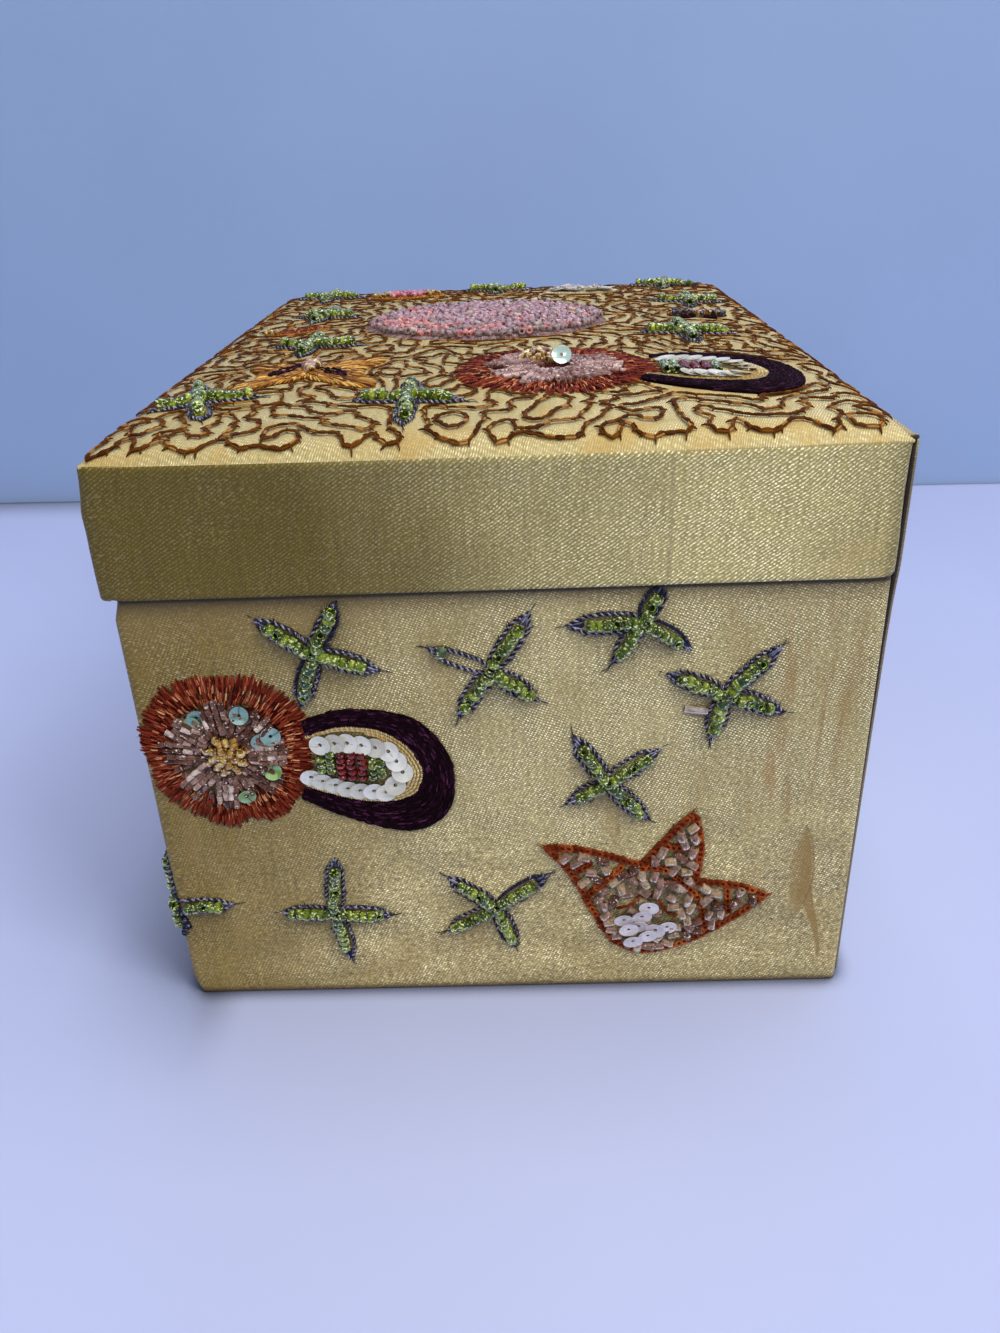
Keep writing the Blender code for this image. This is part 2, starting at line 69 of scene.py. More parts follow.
def loose(z):
    """How far the cloth of the left wall stands off below the skirt."""
    return 1.2 * np.clip(z / 5.0, 0, 1) * np.clip((101.0 - z) / 3.5, 0, 1)


def on_front(u, v, h):
    return np.stack([u + 0 * h, -BASE_HY - h + 0 * u, v + 0 * h], -1)


def on_back(u, v, h):
    return np.stack([-u + 0 * h, BASE_HY + h + 0 * u, v + 0 * h], -1)


def on_left(u, v, h):
    return np.stack([-BASE_HX - loose(v) - h + 0 * u, -u + 0 * h, v + 0 * h], -1)


def on_top(u, v, h):
    e = 0.4
    gx = (crown(u + e, v) - crown(u - e, v)) / (2 * e)
    gy = (crown(u, v + e) - crown(u, v - e)) / (2 * e)
    n = 1 / np.sqrt(1 + gx * gx + gy * gy)
    return np.stack([u - gx * n * h, v - gy * n * h, LID_Z + crown(u, v) + n * h], -1)


def on_corner(u, v, h):
    """The front, carried on round the left corner onto the left side."""
    u, v, h = np.broadcast_arrays(np.asarray(u, float), np.asarray(v, float), np.asarray(h, float))
    s = u + BASE_HX - CORNER
    arc = CORNER * pi / 2
    t = np.clip(-s / arc, 0, 1) * pi / 2
    r = CORNER + h
    x = -BASE_HX + CORNER - (r + loose(v)) * np.sin(t) + np.maximum(s, 0)
    y = -BASE_HY + CORNER - r * np.cos(t) + np.maximum(-s - arc, 0)
    return np.stack([x, y, v], -1)


def frame_at(S, u, v):
    e = 0.05
    f = lambda a, b, c: S(np.array(a), np.array(b), np.array(c))
    p = f(u, v, 0.0)
    n = f(u, v, 1.0) - p
    n /= np.linalg.norm(n)
    tu = f(u + e, v, 0.0) - f(u - e, v, 0.0)
    tu -= n * (tu @ n)
    tu /= np.linalg.norm(tu)
    return p, tu, np.cross(n, tu), n


# ------------------------------------------------------------------ mesh buffers
class Buf:
    """Collects vertices, faces, material numbers, a per-vertex tint and a per-vertex painted-light value, and turns
    them into one mesh.
    """

    def __init__(self):
        self.V, self.T, self.G, self.F4, self.M4, self.F3, self.M3, self.n = [], [], [], [], [], [], [], 0

    def add(self, V, F4=(), F3=(), m=0, tint=0.5, m4=None, glow=0.5):
        V = np.asarray(V, float).reshape(-1, 3)
        self.V.append(V)
        self.T.append(np.broadcast_to(np.asarray(tint, float), (len(V),)))
        self.G.append(np.broadcast_to(np.asarray(glow, float), (len(V),)))
        if len(F4):
            self.F4.append(np.asarray(F4) + self.n)
            self.M4.append(np.broadcast_to(np.asarray(m if m4 is None else m4), (len(F4),)))
        if len(F3):
            self.F3.append(np.asarray(F3) + self.n)
            self.M3.append(np.broadcast_to(np.asarray(m), (len(F3),)))
        self.n += len(V)


def make(name, buf, mats, sharp=None, st=None):
    V = np.concatenate(buf.V) * MM
    F4 = np.concatenate(buf.F4) if buf.F4 else np.zeros((0, 4), int)
    F3 = np.concatenate(buf.F3) if buf.F3 else np.zeros((0, 3), int)
    M = np.concatenate(buf.M4 + buf.M3)
    loops = np.concatenate([F4.ravel(), F3.ravel()]).astype(np.int32)
    starts = np.concatenate([np.arange(len(F4)) * 4, len(F4) * 4 + np.arange(len(F3)) * 3]).astype(np.int32)
    me = bpy.data.meshes.new(name)
    me.vertices.add(len(V))
    me.vertices.foreach_set("co", V.astype(np.float32).ravel())
    me.loops.add(len(loops))
    me.loops.foreach_set("vertex_index", loops)
    me.polygons.add(len(starts))
    me.polygons.foreach_set("loop_start", starts)
    me.polygons.foreach_set("material_index", M.astype(np.int32))
    me.polygons.foreach_set("use_smooth", np.ones(len(starts), bool))
    at = me.attributes.new("tint", "FLOAT", "POINT")
    at.data.foreach_set("value", np.concatenate(buf.T).astype(np.float32))
    # the painted-light value of each vertex
    at = me.attributes.new("glow", "FLOAT", "POINT")
    at.data.foreach_set("value", np.concatenate(buf.G).astype(np.float32))
    if st is not None:
        at = me.attributes.new("st", "FLOAT_VECTOR", "POINT")
        at.data.foreach_set("vector", np.asarray(st, np.float32).ravel())
    me.update(calc_edges=True)
    me.validate()
    for m in mats:
        me.materials.append(m)
    if sharp:
        me.set_sharp_from_angle(angle=radians(sharp))
    ob = bpy.data.objects.new(name, me)
    bpy.context.scene.collection.objects.link(ob)
    return ob


def solidify(ob, mm, offset=-1.0):
    m = ob.modifiers.new("thickness", "SOLIDIFY")
    m.thickness = mm * MM
    m.offset = offset
    m.use_even_offset = False
    return ob


def grid_faces(ni, nj, closed_j=False):
    """Quads of a grid of ni rows and nj columns."""
    i = np.arange(ni - 1)[:, None]
    j = np.arange(nj if closed_j else nj - 1)[None, :]
    a = i * nj + j
    b = i * nj + (j + 1) % nj
    return np.stack([a, b, b + nj, a + nj], -1).reshape(-1, 4)


def resample(path, step, closed=False):
    p = np.asarray(path, float)
    if closed:
        p = np.vstack([p, p[:1]])
    d = np.r_[0, np.cumsum(np.linalg.norm(np.diff(p, axis=0), axis=1))]
    n = max(int(round(d[-1] / step)), 2)
    s = np.linspace(0, d[-1], n + 1)
    q = np.stack([np.interp(s, d, p[:, k]) for k in range(p.shape[1])], -1)
    return q[:-1] if closed else q


def spline(pts, closed=True, step=0.5):
    p = np.asarray(pts, float)
    n = len(p)
    if closed:
        q = np.vstack([p[-1:], p, p[:2]])
        m = n
    else:
        q = np.vstack([2 * p[:1] - p[1:2], p, 2 * p[-1:] - p[-2:-1]])
        m = n - 1
    t = np.linspace(0, 1, 13)[:-1][:, None]
    out = []
    for i in range(m):
        a, b, c, d = q[i], q[i + 1], q[i + 2], q[i + 3]
        out.append(0.5 * (2 * b + (c - a) * t + (2 * a - 5 * b + 4 * c - d) * t * t + (3 * b - a - 3 * c + d) * t ** 3))
    out = np.vstack(out)
    if not closed:
        out = np.vstack([out, p[-1:]])
    return resample(out, step, closed)


def sides(p, closed=False):
    """Unit left-hand normals of a flat path."""
    p = np.asarray(p, float)
    t = np.roll(p, -1, 0) - np.roll(p, 1, 0) if closed else np.gradient(p, axis=0)
    t /= np.maximum(np.linalg.norm(t, axis=1, keepdims=True), 1e-9)
    return np.stack([-t[:, 1], t[:, 0]], -1)


def strands(buf, S, P, r, k=4, m=0, tint=0.5, closed=False):
    """Round threads: P is (count, points, 3) in face coordinates."""
    P = np.asarray(P, float)
    if P.ndim == 2:
        P = P[None]
    c, n, _ = P.shape
    if closed:
        T = np.roll(P, -1, 1) - np.roll(P, 1, 1)
    else:
        T = np.gradient(P, axis=1)
    T /= np.maximum(np.linalg.norm(T, axis=2, keepdims=True), 1e-9)
    side = np.cross(T, np.array([0.0, 0.0, 1.0]))
    ln = np.linalg.norm(side, axis=2, keepdims=True)
    side = np.where(ln > 1e-3, side / np.maximum(ln, 1e-9), np.array([1.0, 0.0, 0.0]))
    nu = np.cross(side, T)
    r = np.broadcast_to(np.asarray(r, float), (c, n)) if np.ndim(r) < 2 else r
    a = np.arange(k) * 2 * pi / k + pi / k
    ring = P[:, :, None, :] + r[:, :, None, None] * (np.cos(a)[None, None, :, None] * side[:, :, None, :]
                                                     + np.sin(a)[None, None, :, None] * nu[:, :, None, :])
    W = S(ring[..., 0], ring[..., 1], ring[..., 2]).reshape(-1, 3)
    base = (np.arange(c) * n * k)[:, None, None]
    ii = np.arange(n if closed else n - 1)[None, :, None]
    jj = np.arange(k)[None, None, :]
    i2 = (ii + 1) % n
    a0, a1 = base + ii * k + jj, base + ii * k + (jj + 1) % k
    b0, b1 = base + i2 * k + jj, base + i2 * k + (jj + 1) % k
    F4 = np.stack([a0, b0, b1, a1], -1).reshape(-1, 4)
    F3 = []
    if not closed:
        b = base[:, 0, 0]
        e = b + (n - 1) * k
        if k == 3:
            F3 = np.vstack([b[:, None] + [0, 1, 2], e[:, None] + [2, 1, 0]])
        elif k == 4:
            F4 = np.vstack([F4, b[:, None] + [0, 1, 2, 3], e[:, None] + [3, 2, 1, 0]])
        else:
            F4 = np.vstack([F4, b[:, None] + [0, 1, 2, 3], e[:, None] + [3, 2, 1, 0],
                            b[:, None] + [0, 3, 4, 5 % k], e[:, None] + [5 % k, 4, 3, 0]]) if k == 6 else F4
    tt = np.asarray(tint, float)
    if tt.ndim == 1 and len(tt) == c:
        tt = np.repeat(tt, n * k)
    buf.add(W, F4, F3, m, tt)


# ------------------------------------------------------------------ beads and sequins, each a small template
def revolve(profile, inner, seg):
    """A ring body about the local X axis from a closed (x, radius) profile. inner marks the hole's faces."""
    p = np.asarray(profile, float)
    n = len(p)
    a = np.arange(seg) * 2 * pi / seg
    V = np.stack([np.repeat(p[:, 0][:, None], seg, 1), p[:, 1][:, None] * np.cos(a), p[:, 1][:, None] * np.sin(a)], -1)
    i = np.arange(n)[:, None]
    j = np.arange(seg)[None, :]
    i2, j2 = (i + 1) % n, (j + 1) % seg
    F = np.stack([i * seg + j, i * seg + j2, i2 * seg + j2, i2 * seg + j], -1).reshape(-1, 4)
    M = np.repeat(np.asarray(inner, int), seg)
    return V.reshape(-1, 3), F, M


def seed(R=1.2, hl=0.84, rh=0.34, n=10, seg=12):
    t = np.arange(n) * 2 * pi / n + pi / n
    sp = lambda x, e: np.sign(x) * np.abs(x) ** e
    rc, ht = (R + rh) / 2, (R - rh) / 2
    prof = np.stack([hl * sp(np.cos(t), 0.8), rc + ht * sp(np.sin(t), 0.75)], -1)
    mid = (prof[:, 1] + np.roll(prof[:, 1], -1)) / 2
    t_ = revolve(prof, mid < rc - 0.55 * ht, seg)
    # painted light: bright through the bead's middle, falling to dark at its ends
    g_ = np.clip(1.12 - 1.25 * np.abs(prof[:, 0]) / hl, 0, 1)
    return t_ + (np.repeat(g_, seg),)


def bugle(R=0.45, hl=1.2, rh=0.2, seg=8):
    b = 0.06
    prof = [(-hl, rh), (-hl, R - b), (-hl + b, R), (hl - b, R), (hl, R - b), (hl, rh)]
    t_ = revolve(prof[::-1], [0, 0, 0, 0, 0, 1], seg)
    x = np.abs(t_[0][:, 0]) / hl
    # painted light: high at the cut ends, lower along the middle
    return t_ + (np.where(x > 0.9, 1.0, 0.35),)


def disc(R=2.3, rh=0.42, cup=0.32, thick=0.09, seg=22):
    rs = np.array([rh, 0.35 * R, 0.7 * R, R])
    top = cup * (rs / R) ** 2
    n = len(rs)
    a = np.arange(seg) * 2 * pi / seg
    ring = lambda r, z: np.stack([r * np.cos(a), r * np.sin(a), np.full(seg, z)], -1)
    V = np.concatenate([ring(r, z + thick) for r, z in zip(rs, top)] + [ring(r, z) for r, z in zip(rs[::-1], top[::-1])])
    i = np.arange(2 * n)[:, None]
    j = np.arange(seg)[None, :]
    i2, j2 = (i + 1) % (2 * n), (j + 1) % seg
    F = np.stack([i * seg + j, i2 * seg + j, i2 * seg + j2, i * seg + j2], -1).reshape(-1, 4)
    return V, F, np.zeros(len(F), int), np.tile(np.r_[np.linspace(0, 1, n), np.linspace(1, 0, n)], (seg, 1)).T.ravel()


def put(buf, tpl, S, u, v, h, phi=0.0, pitch=0.0, rollv=0.0, scale=1.0, m=0, tint=0.5):
    """Places a template rigidly on a face, its local X along phi."""
    V, F, M, G = tpl
    p, tu, tv, n = frame_at(S, float(u), float(v))
    q = np.asarray(V) * np.asarray(scale)
    cr, sr = cos(rollv), sin(rollv)
    q = q @ np.array([[1, 0, 0], [0, cr, sr], [0, -sr, cr]])
    cp, sp = cos(pitch), sin(pitch)
    q = q @ np.array([[cp, 0, sp], [0, 1, 0], [-sp, 0, cp]])
    c, s = cos(phi), sin(phi)
    q = q @ np.array([[c, s, 0], [-s, c, 0], [0, 0, 1]])
    W = p + n * h + q[:, :1] * tu + q[:, 1:2] * tv + q[:, 2:] * n
    buf.add(W, F, (), 0, tint, m4=M + m, glow=G)


SEED = seed()
SEED_S = seed(0.86, 0.6, 0.26)
BUGLE = bugle()
CUT = bugle(0.74, 1.0, 0.3, 6)
DISC = disc()


def fan_patch(buf, S, outline, centre, h_edge, h_mid, m=0, tint=0.5, rings=7):
    """A low domed filling under a motif, closed below, for outlines that its centre can see."""
    o = np.asarray(outline, float)
    c = np.asarray(centre, float)
    n = len(o)
    k = np.linspace(1, 0.04, rings)
    top = np.concatenate([np.column_stack([c + (o - c) * s, np.full(n, h_edge + (h_mid - h_edge) * (1 - s ** 2) ** 0.5)]) for s in k])
    low = np.concatenate([np.column_stack([c + (o - c) * s, np.full(n, 0.02)]) for s in k])
    P = np.concatenate([top, low])
    W = S(P[:, 0], P[:, 1], P[:, 2])
    i = np.arange(rings - 1)[:, None]
    j = np.arange(n)[None, :]
    a, b = i * n + j, i * n + (j + 1) % n
    up = np.stack([a, b, b + n, a + n], -1).reshape(-1, 4)
    o2 = rings * n
    dn = np.stack([a + o2, a + n + o2, b + n + o2, b + o2], -1).reshape(-1, 4)
    jj = np.arange(n)
    rim = np.stack([jj, jj + o2, (jj + 1) % n + o2, (jj + 1) % n], -1)
    t0 = (rings - 1) * n
    inn = np.stack([t0 + jj, t0 + (jj + 1) % n, t0 + (jj + 1) % n + o2, t0 + jj + o2], -1)
    buf.add(W, np.vstack([up, dn, rim, inn]), (), m, tint)


def band_patch(buf, S, outer, inner, h, m=0, tint=0.5, rows=5):
    """A low filling between two paths of equal count."""
    a, b = np.asarray(outer, float), np.asarray(inner, float)
    n = len(a)
    w = np.linspace(0, 1, rows)
    hh = h * np.sqrt(np.maximum(1 - (2 * w - 1) ** 2, 0.0)) * 0.8 + 0.2 * h
    top = np.concatenate([np.column_stack([a + (b - a) * x, np.full(n, y)]) for x, y in zip(w, hh)])
    low = np.concatenate([np.column_stack([a + (b - a) * x, np.full(n, 0.02)]) for x in w])
    P = np.concatenate([top, low])
    W = S(P[:, 0], P[:, 1], P[:, 2])
    up = grid_faces(rows, n)
    dn = grid_faces(rows, n)[:, ::-1] + rows * n
    o2 = rows * n
    j = np.arange(n - 1)
    e1 = np.stack([j, j + o2, j + 1 + o2, j + 1], -1)
    l0 = (rows - 1) * n
    e2 = np.stack([l0 + j, l0 + j + 1, l0 + j + 1 + o2, l0 + j + o2], -1)
    i = np.arange(rows - 1)
    e3 = np.stack([i * n, (i + 1) * n, (i + 1) * n + o2, i * n + o2], -1)
    e4 = np.stack([i * n + n - 1, i * n + n - 1 + o2, (i + 1) * n + n - 1 + o2, (i + 1) * n + n - 1], -1)
    buf.add(W, np.vstack([up, dn, e1, e2, e3, e4]), (), m, tint)


def chain(buf, S, path, width=1.5, pitch=2.0, r=0.24, h=0.34, m=0, closed=False, jit=0.12, tint=None, ticks=0.0, k=4):
    """Chain stitch: each link is two bowed legs that leave one hole and meet in the next."""
    p = resample(path, pitch, closed)
    if closed:
        p = np.vstack([p, p[:1]])
    a, b = p[:-1], p[1:]
    n = len(a)
    d = b - a
    L = np.linalg.norm(d, axis=1, keepdims=True)
    t = d / np.maximum(L, 1e-9)
    s = np.stack([-t[:, 1], t[:, 0]], -1)
    f = np.array([-0.04, 0.22, 0.58, 0.9, 1.12])
    w = np.array([0.12, 0.72, 1.0, 0.7, 0.08])
    hh = np.array([0.55, 0.9, 1.05, 1.35, 1.0])
    tt = 0.3 + 0.55 * rng.random(n) if tint is None else np.full(n, tint)
    # a dark strand under the legs: painted shade in the holes of the links
    painted_shade_core = resample(path, pitch * 0.5, closed)
    strands(buf, S, np.column_stack([painted_shade_core, np.full(len(painted_shade_core), h * 0.45)]), max(0.5 * width - r, 0.1), 4, m, 0.12, closed)
    for sg in (-1, 1):
        jw = 1 + jit * rng.normal(size=(n, 1))
        P = np.zeros((n, 5, 3))
        P[:, :, :2] = a[:, None, :] + d[:, None, :] * f[None, :, None] + s[:, None, :] * (sg * 0.5 * (width - 2 * r) * w[None, :, None]) * jw[:, :, None]
        P[:, :, 2] = h * hh[None, :] + 0.05 * rng.random((n, 1))
        strands(buf, S, P, r, k, m, tt)
    if ticks > 0:
        q = np.flatnonzero(rng.random(n) < ticks)
        if len(q):
            sg = rng.choice([-1.0, 1.0], size=(len(q), 1))
            out = s[q] * sg * 0.8 + t[q] * rng.normal(0.3, 0.4, size=(len(q), 1))
            ln = 0.5 * width + rng.random((len(q), 1)) * 0.9
            P = np.zeros((len(q), 3, 3))
            P[:, 0, :2] = b[q] - out * 0.3
            P[:, 1, :2] = b[q] + out * ln * 0.6
            P[:, 2, :2] = b[q] + out * ln
            P[:, :, 2] = np.array([h * 1.5, h * 1.1, 0.12])
            strands(buf, S, P, np.array([r, r * 0.8, r * 0.35])[None, :] * np.ones((len(q), 1)), k, m, tt[q])


def backstitch(buf, S, path, pitch=1.95, r=0.235, gap=0.20, h=0.27, m=0, spur=0.75):
    """Two-ply straight stitches end to end. At each outward bend the end of a stitch stands out as a short spur."""
    p = resample(path, pitch)
    if len(p) < 3:
        return
    p[1:-1] += rng.normal(0, 0.14, (len(p) - 2, 2))
    a, b = p[:-1], p[1:]
    n = len(a)
    d = b - a
    L = np.maximum(np.linalg.norm(d, axis=1, keepdims=True), 1e-9)
    t = d / L
    s = np.stack([-t[:, 1], t[:, 0]], -1)
    f = np.array([-0.10, 0.2, 0.5, 0.8, 1.10])
    w = np.array([0.5, 0.9, 1.15, 0.9, 0.5])
    tt = rng.random(n)
    for i, sg in enumerate((-1, 1)):
        P = np.zeros((n, 5, 3))
        bend = 0.10 * rng.normal(size=(n, 1))
        P[:, :, :2] = a[:, None, :] + d[:, None, :] * f[None, :, None] + s[:, None, :] * (sg * gap * w[None, :] + bend * np.sin(pi * f)[None, :])[:, :, None]
        P[:, :, 2] = h * np.array([0.9, 1.15, 1.25, 1.15, 0.9]) + 0.07 * rng.random((n, 1))
        strands(buf, S, P, r * np.array([0.7, 1.0, 1.1, 1.0, 0.7])[None, :] * (0.85 + 0.3 * rng.random((n, 1))), 4, m,
                np.clip(tt + 0.3 * rng.normal(size=n), 0, 1))
    turn = t[:-1, 0] * t[1:, 1] - t[:-1, 1] * t[1:, 0]
    sel = np.flatnonzero((np.abs(turn) > 0.26) & (rng.random(n - 1) < 0.85))
    if len(sel):
        out = t[sel] * 0.75 - t[sel + 1] * 0.55 + rng.normal(0, 0.12, (len(sel), 2))
        out /= np.maximum(np.linalg.norm(out, axis=1, keepdims=True), 1e-9)
        ln = spur + 0.75 * rng.random((len(sel), 1))
        P = np.zeros((len(sel), 3, 3))
        P[:, 0, :2] = b[sel] - out * 0.35
        P[:, 1, :2] = b[sel] + out * ln * 0.55
        P[:, 2, :2] = b[sel] + out * ln
        P[:, :, 2] = np.array([h * 1.4, h * 1.1, 0.1])
        strands(buf, S, P, np.array([0.28, 0.23, 0.09])[None, :] * np.ones((len(sel), 1)), 4, m, 0.2 + 0.4 * rng.random(len(sel)))


def twist(buf, S, path, r=0.2, ro=0.2, pitch=1.5, h=0.42, mats=(0, 1), per=8, closed=False, k=4):
    """Two plies wound round each other."""
    p = resample(path, pitch / per, closed)
    sd = sides(p, closed)
    step = np.linalg.norm(np.diff(p, axis=0), axis=1)
    s = np.r_[0, np.cumsum(step)]
    for i, m in enumerate(mats):
        ph = 2 * pi * s / pitch + 2 * pi * i / len(mats)
        P = np.column_stack([p + sd * (ro * np.cos(ph))[:, None], h + ro * np.sin(ph)])
        strands(buf, S, P, r, k, m, 0.5 + 0.3 * np.sin(s[0] + i), closed)


def stitches(buf, S, a, b, r=0.2, h0=0.1, h1=0.4, m=0, tint=None, bow=0.0, k=4, jit=0.0):
    """Single straight stitches from a to b, (n, 2) each, raised in the middle."""
    a, b = np.asarray(a, float), np.asarray(b, float)
    n = len(a)
    f = np.array([0, 0.3, 0.7, 1.0])
    P = np.zeros((n, 4, 3))
    d = b - a
    s = np.stack([-d[:, 1], d[:, 0]], -1)
    bw = bow * (rng.random(n) - 0.5) if np.ndim(bow) == 0 else bow
    P[:, :, :2] = a[:, None] + d[:, None] * f[None, :, None] + s[:, None] * (bw[:, None] * np.array([0, 1, 1, 0]))[:, :, None]
    hj = jit * rng.random((n, 1))
    P[:, :, 2] = np.array([h0, h1, h1, h0]) + hj
    rr = r * np.array([0.6, 1.0, 1.0, 0.45])[None, :] * (0.85 + 0.3 * rng.random((n, 1)))
    strands(buf, S, P, rr, k, m, rng.random(n) if tint is None else tint)


def hairs(buf, S, p, deg, ln, r=0.07, m=0, h=0.35, curl=0.25, tint=0.5):
    """Loose thread ends."""
    p = np.asarray(p, float)
    n = len(p)
    a = np.radians(np.broadcast_to(deg, n)) + rng.normal(0, 0.2, n)
    f = np.linspace(0, 1, 5)
    c = curl * rng.normal(size=n)
    ang = a[:, None] + c[:, None] * f[None, :] * 2
    L = np.broadcast_to(ln, n)[:, None] * (0.7 + 0.6 * rng.random((n, 1)))
    P = np.zeros((n, 5, 3))
    dx, dy = np.cos(ang) * L / 4, np.sin(ang) * L / 4
    P[:, :, 0] = p[:, :1] + np.cumsum(dx, 1) - dx
    P[:, :, 1] = p[:, 1:] + np.cumsum(dy, 1) - dy
    P[:, :, 2] = h * (1 - f) ** 0.7 + 0.08 + 0.3 * np.abs(rng.normal(size=(n, 1))) * np.sin(pi * f)[None, :]
    strands(buf, S, P, r * np.array([1, 1, 0.9, 0.7, 0.4])[None, :] * np.ones((n, 1)), 3, m, tint)


# ------------------------------------------------------------------ materials
class Mat:
    def __init__(self, name):
        self.m = bpy.data.materials.new(name)
        self.m.use_nodes = True
        self.t = self.m.node_tree
        self.t.nodes.clear()
        self.out = self.t.nodes.new("ShaderNodeOutputMaterial")
        self.p = self.t.nodes.new("ShaderNodeBsdfPrincipled")
        self.t.links.new(self.p.outputs[0], self.out.inputs[0])

    def set(self, **kw):
        for k, v in kw.items():
            self.p.inputs[k.replace("_", " ")].default_value = v
        return self

    def _in(self, sock, v):
        if isinstance(v, bpy.types.NodeSocket):
            self.t.links.new(v, sock)
        else:
            sock.default_value = v

    def node(self, kind, **kw):
        n = self.t.nodes.new("ShaderNode" + kind)
        for k, v in kw.items():
            setattr(n, k, v)
        return n

    def math(self, op, a, b=0.0, c=0.0, clamp=False):
        n = self.node("Math", operation=op, use_clamp=clamp)
        self._in(n.inputs[0], a)
        self._in(n.inputs[1], b)
        if len(n.inputs) > 2:
            self._in(n.inputs[2], c)
        return n.outputs[0]

    def dot(self, v, k):
        n = self.node("VectorMath", operation="DOT_PRODUCT")
        self.t.links.new(v, n.inputs[0])
        n.inputs[1].default_value = k
        return n.outputs["Value"]

    def vadd(self, a, b):
        n = self.node("VectorMath", operation="ADD")
        self._in(n.inputs[0], a)
        self._in(n.inputs[1], b)
        return n.outputs[0]

    def vscale(self, v, k):
        n = self.node("VectorMath", operation="SCALE")
        self.t.links.new(v, n.inputs[0])
        self._in(n.inputs["Scale"], k)
        return n.outputs[0]

    def vmul(self, v, k):
        n = self.node("VectorMath", operation="MULTIPLY")
        self.t.links.new(v, n.inputs[0])
        n.inputs[1].default_value = k
        return n.outputs[0]

    def attr(self, name, out="Vector"):
        return self.node("Attribute", attribute_name=name).outputs[out]

    def obj(self):
        """Object coordinates in millimetres."""
        return self.vscale(self.node("TexCoord").outputs["Object"], 1000.0)

    def noise(self, v, scale, detail=2.0, rough=0.5, dist=0.0):
        n = self.node("TexNoise")
        self.t.links.new(v, n.inputs["Vector"])
        n.inputs["Scale"].default_value = scale
        n.inputs["Detail"].default_value = detail
        n.inputs["Roughness"].default_value = rough
        n.inputs["Distortion"].default_value = dist
        return n.outputs["Fac"]

    def noise_col(self, v, scale, detail=1.0):
        n = self.node("TexNoise")
        self.t.links.new(v, n.inputs["Vector"])
        n.inputs["Scale"].default_value = scale
        n.inputs["Detail"].default_value = detail
        return n.outputs["Color"]

    def rng(self, v, a, b, c=0.0, d=1.0, smooth=True):
        n = self.node("MapRange", interpolation_type="SMOOTHSTEP" if smooth else "LINEAR")
        self._in(n.inputs["Value"], v)
        for k, x in zip(("From Min", "From Max", "To Min", "To Max"), (a, b, c, d)):
            n.inputs[k].default_value = x
        return n.outputs["Result"]

    def mix(self, f, a, b, blend="MIX"):
        n = self.node("Mix", data_type="RGBA", blend_type=blend)
        self._in(n.inputs[0], f)
        for i, v in ((6, a), (7, b)):
            if isinstance(v, bpy.types.NodeSocket):
                self.t.links.new(v, n.inputs[i])
            else:
                n.inputs[i].default_value = (*v, 1.0)
        return n.outputs[2]

    def ramp(self, f, stops, const=False):
        n = self.node("ValToRGB")
        self._in(n.inputs[0], f)
        e = n.color_ramp.elements
        n.color_ramp.interpolation = "CONSTANT" if const else "LINEAR"
        while len(e) < len(stops):
            e.new(0.5)
        for x, (pos, col) in zip(e, stops):
            x.position = pos
            x.color = (*col, 1.0)
        return n.outputs[0]

    def shade(self, col, f):
        """Scales a colour by a factor socket."""
        n = self.node("VectorMath", operation="SCALE")
        self._in(n.inputs[0], col if isinstance(col, bpy.types.NodeSocket) else (*col,))
        self._in(n.inputs["Scale"], f)
        return n.outputs[0]

    def bump(self, h, dist, strength=1.0, normal=None):
        n = self.node("Bump")
        n.inputs["Strength"].default_value = strength
        n.inputs["Distance"].default_value = dist
        self.t.links.new(h, n.inputs["Height"])
        if normal is not None:
            self.t.links.new(normal, n.inputs["Normal"])
        return n.outputs[0]

    def color(self, s):
        self._in(self.p.inputs["Base Color"], s if isinstance(s, bpy.types.NodeSocket) else (*s, 1.0))
        return self

    def rough(self, s):
        self._in(self.p.inputs["Roughness"], s)
        return self

    def normal(self, s):
        self.t.links.new(s, self.p.inputs["Normal"])
        return self


TAU = 2 * pi


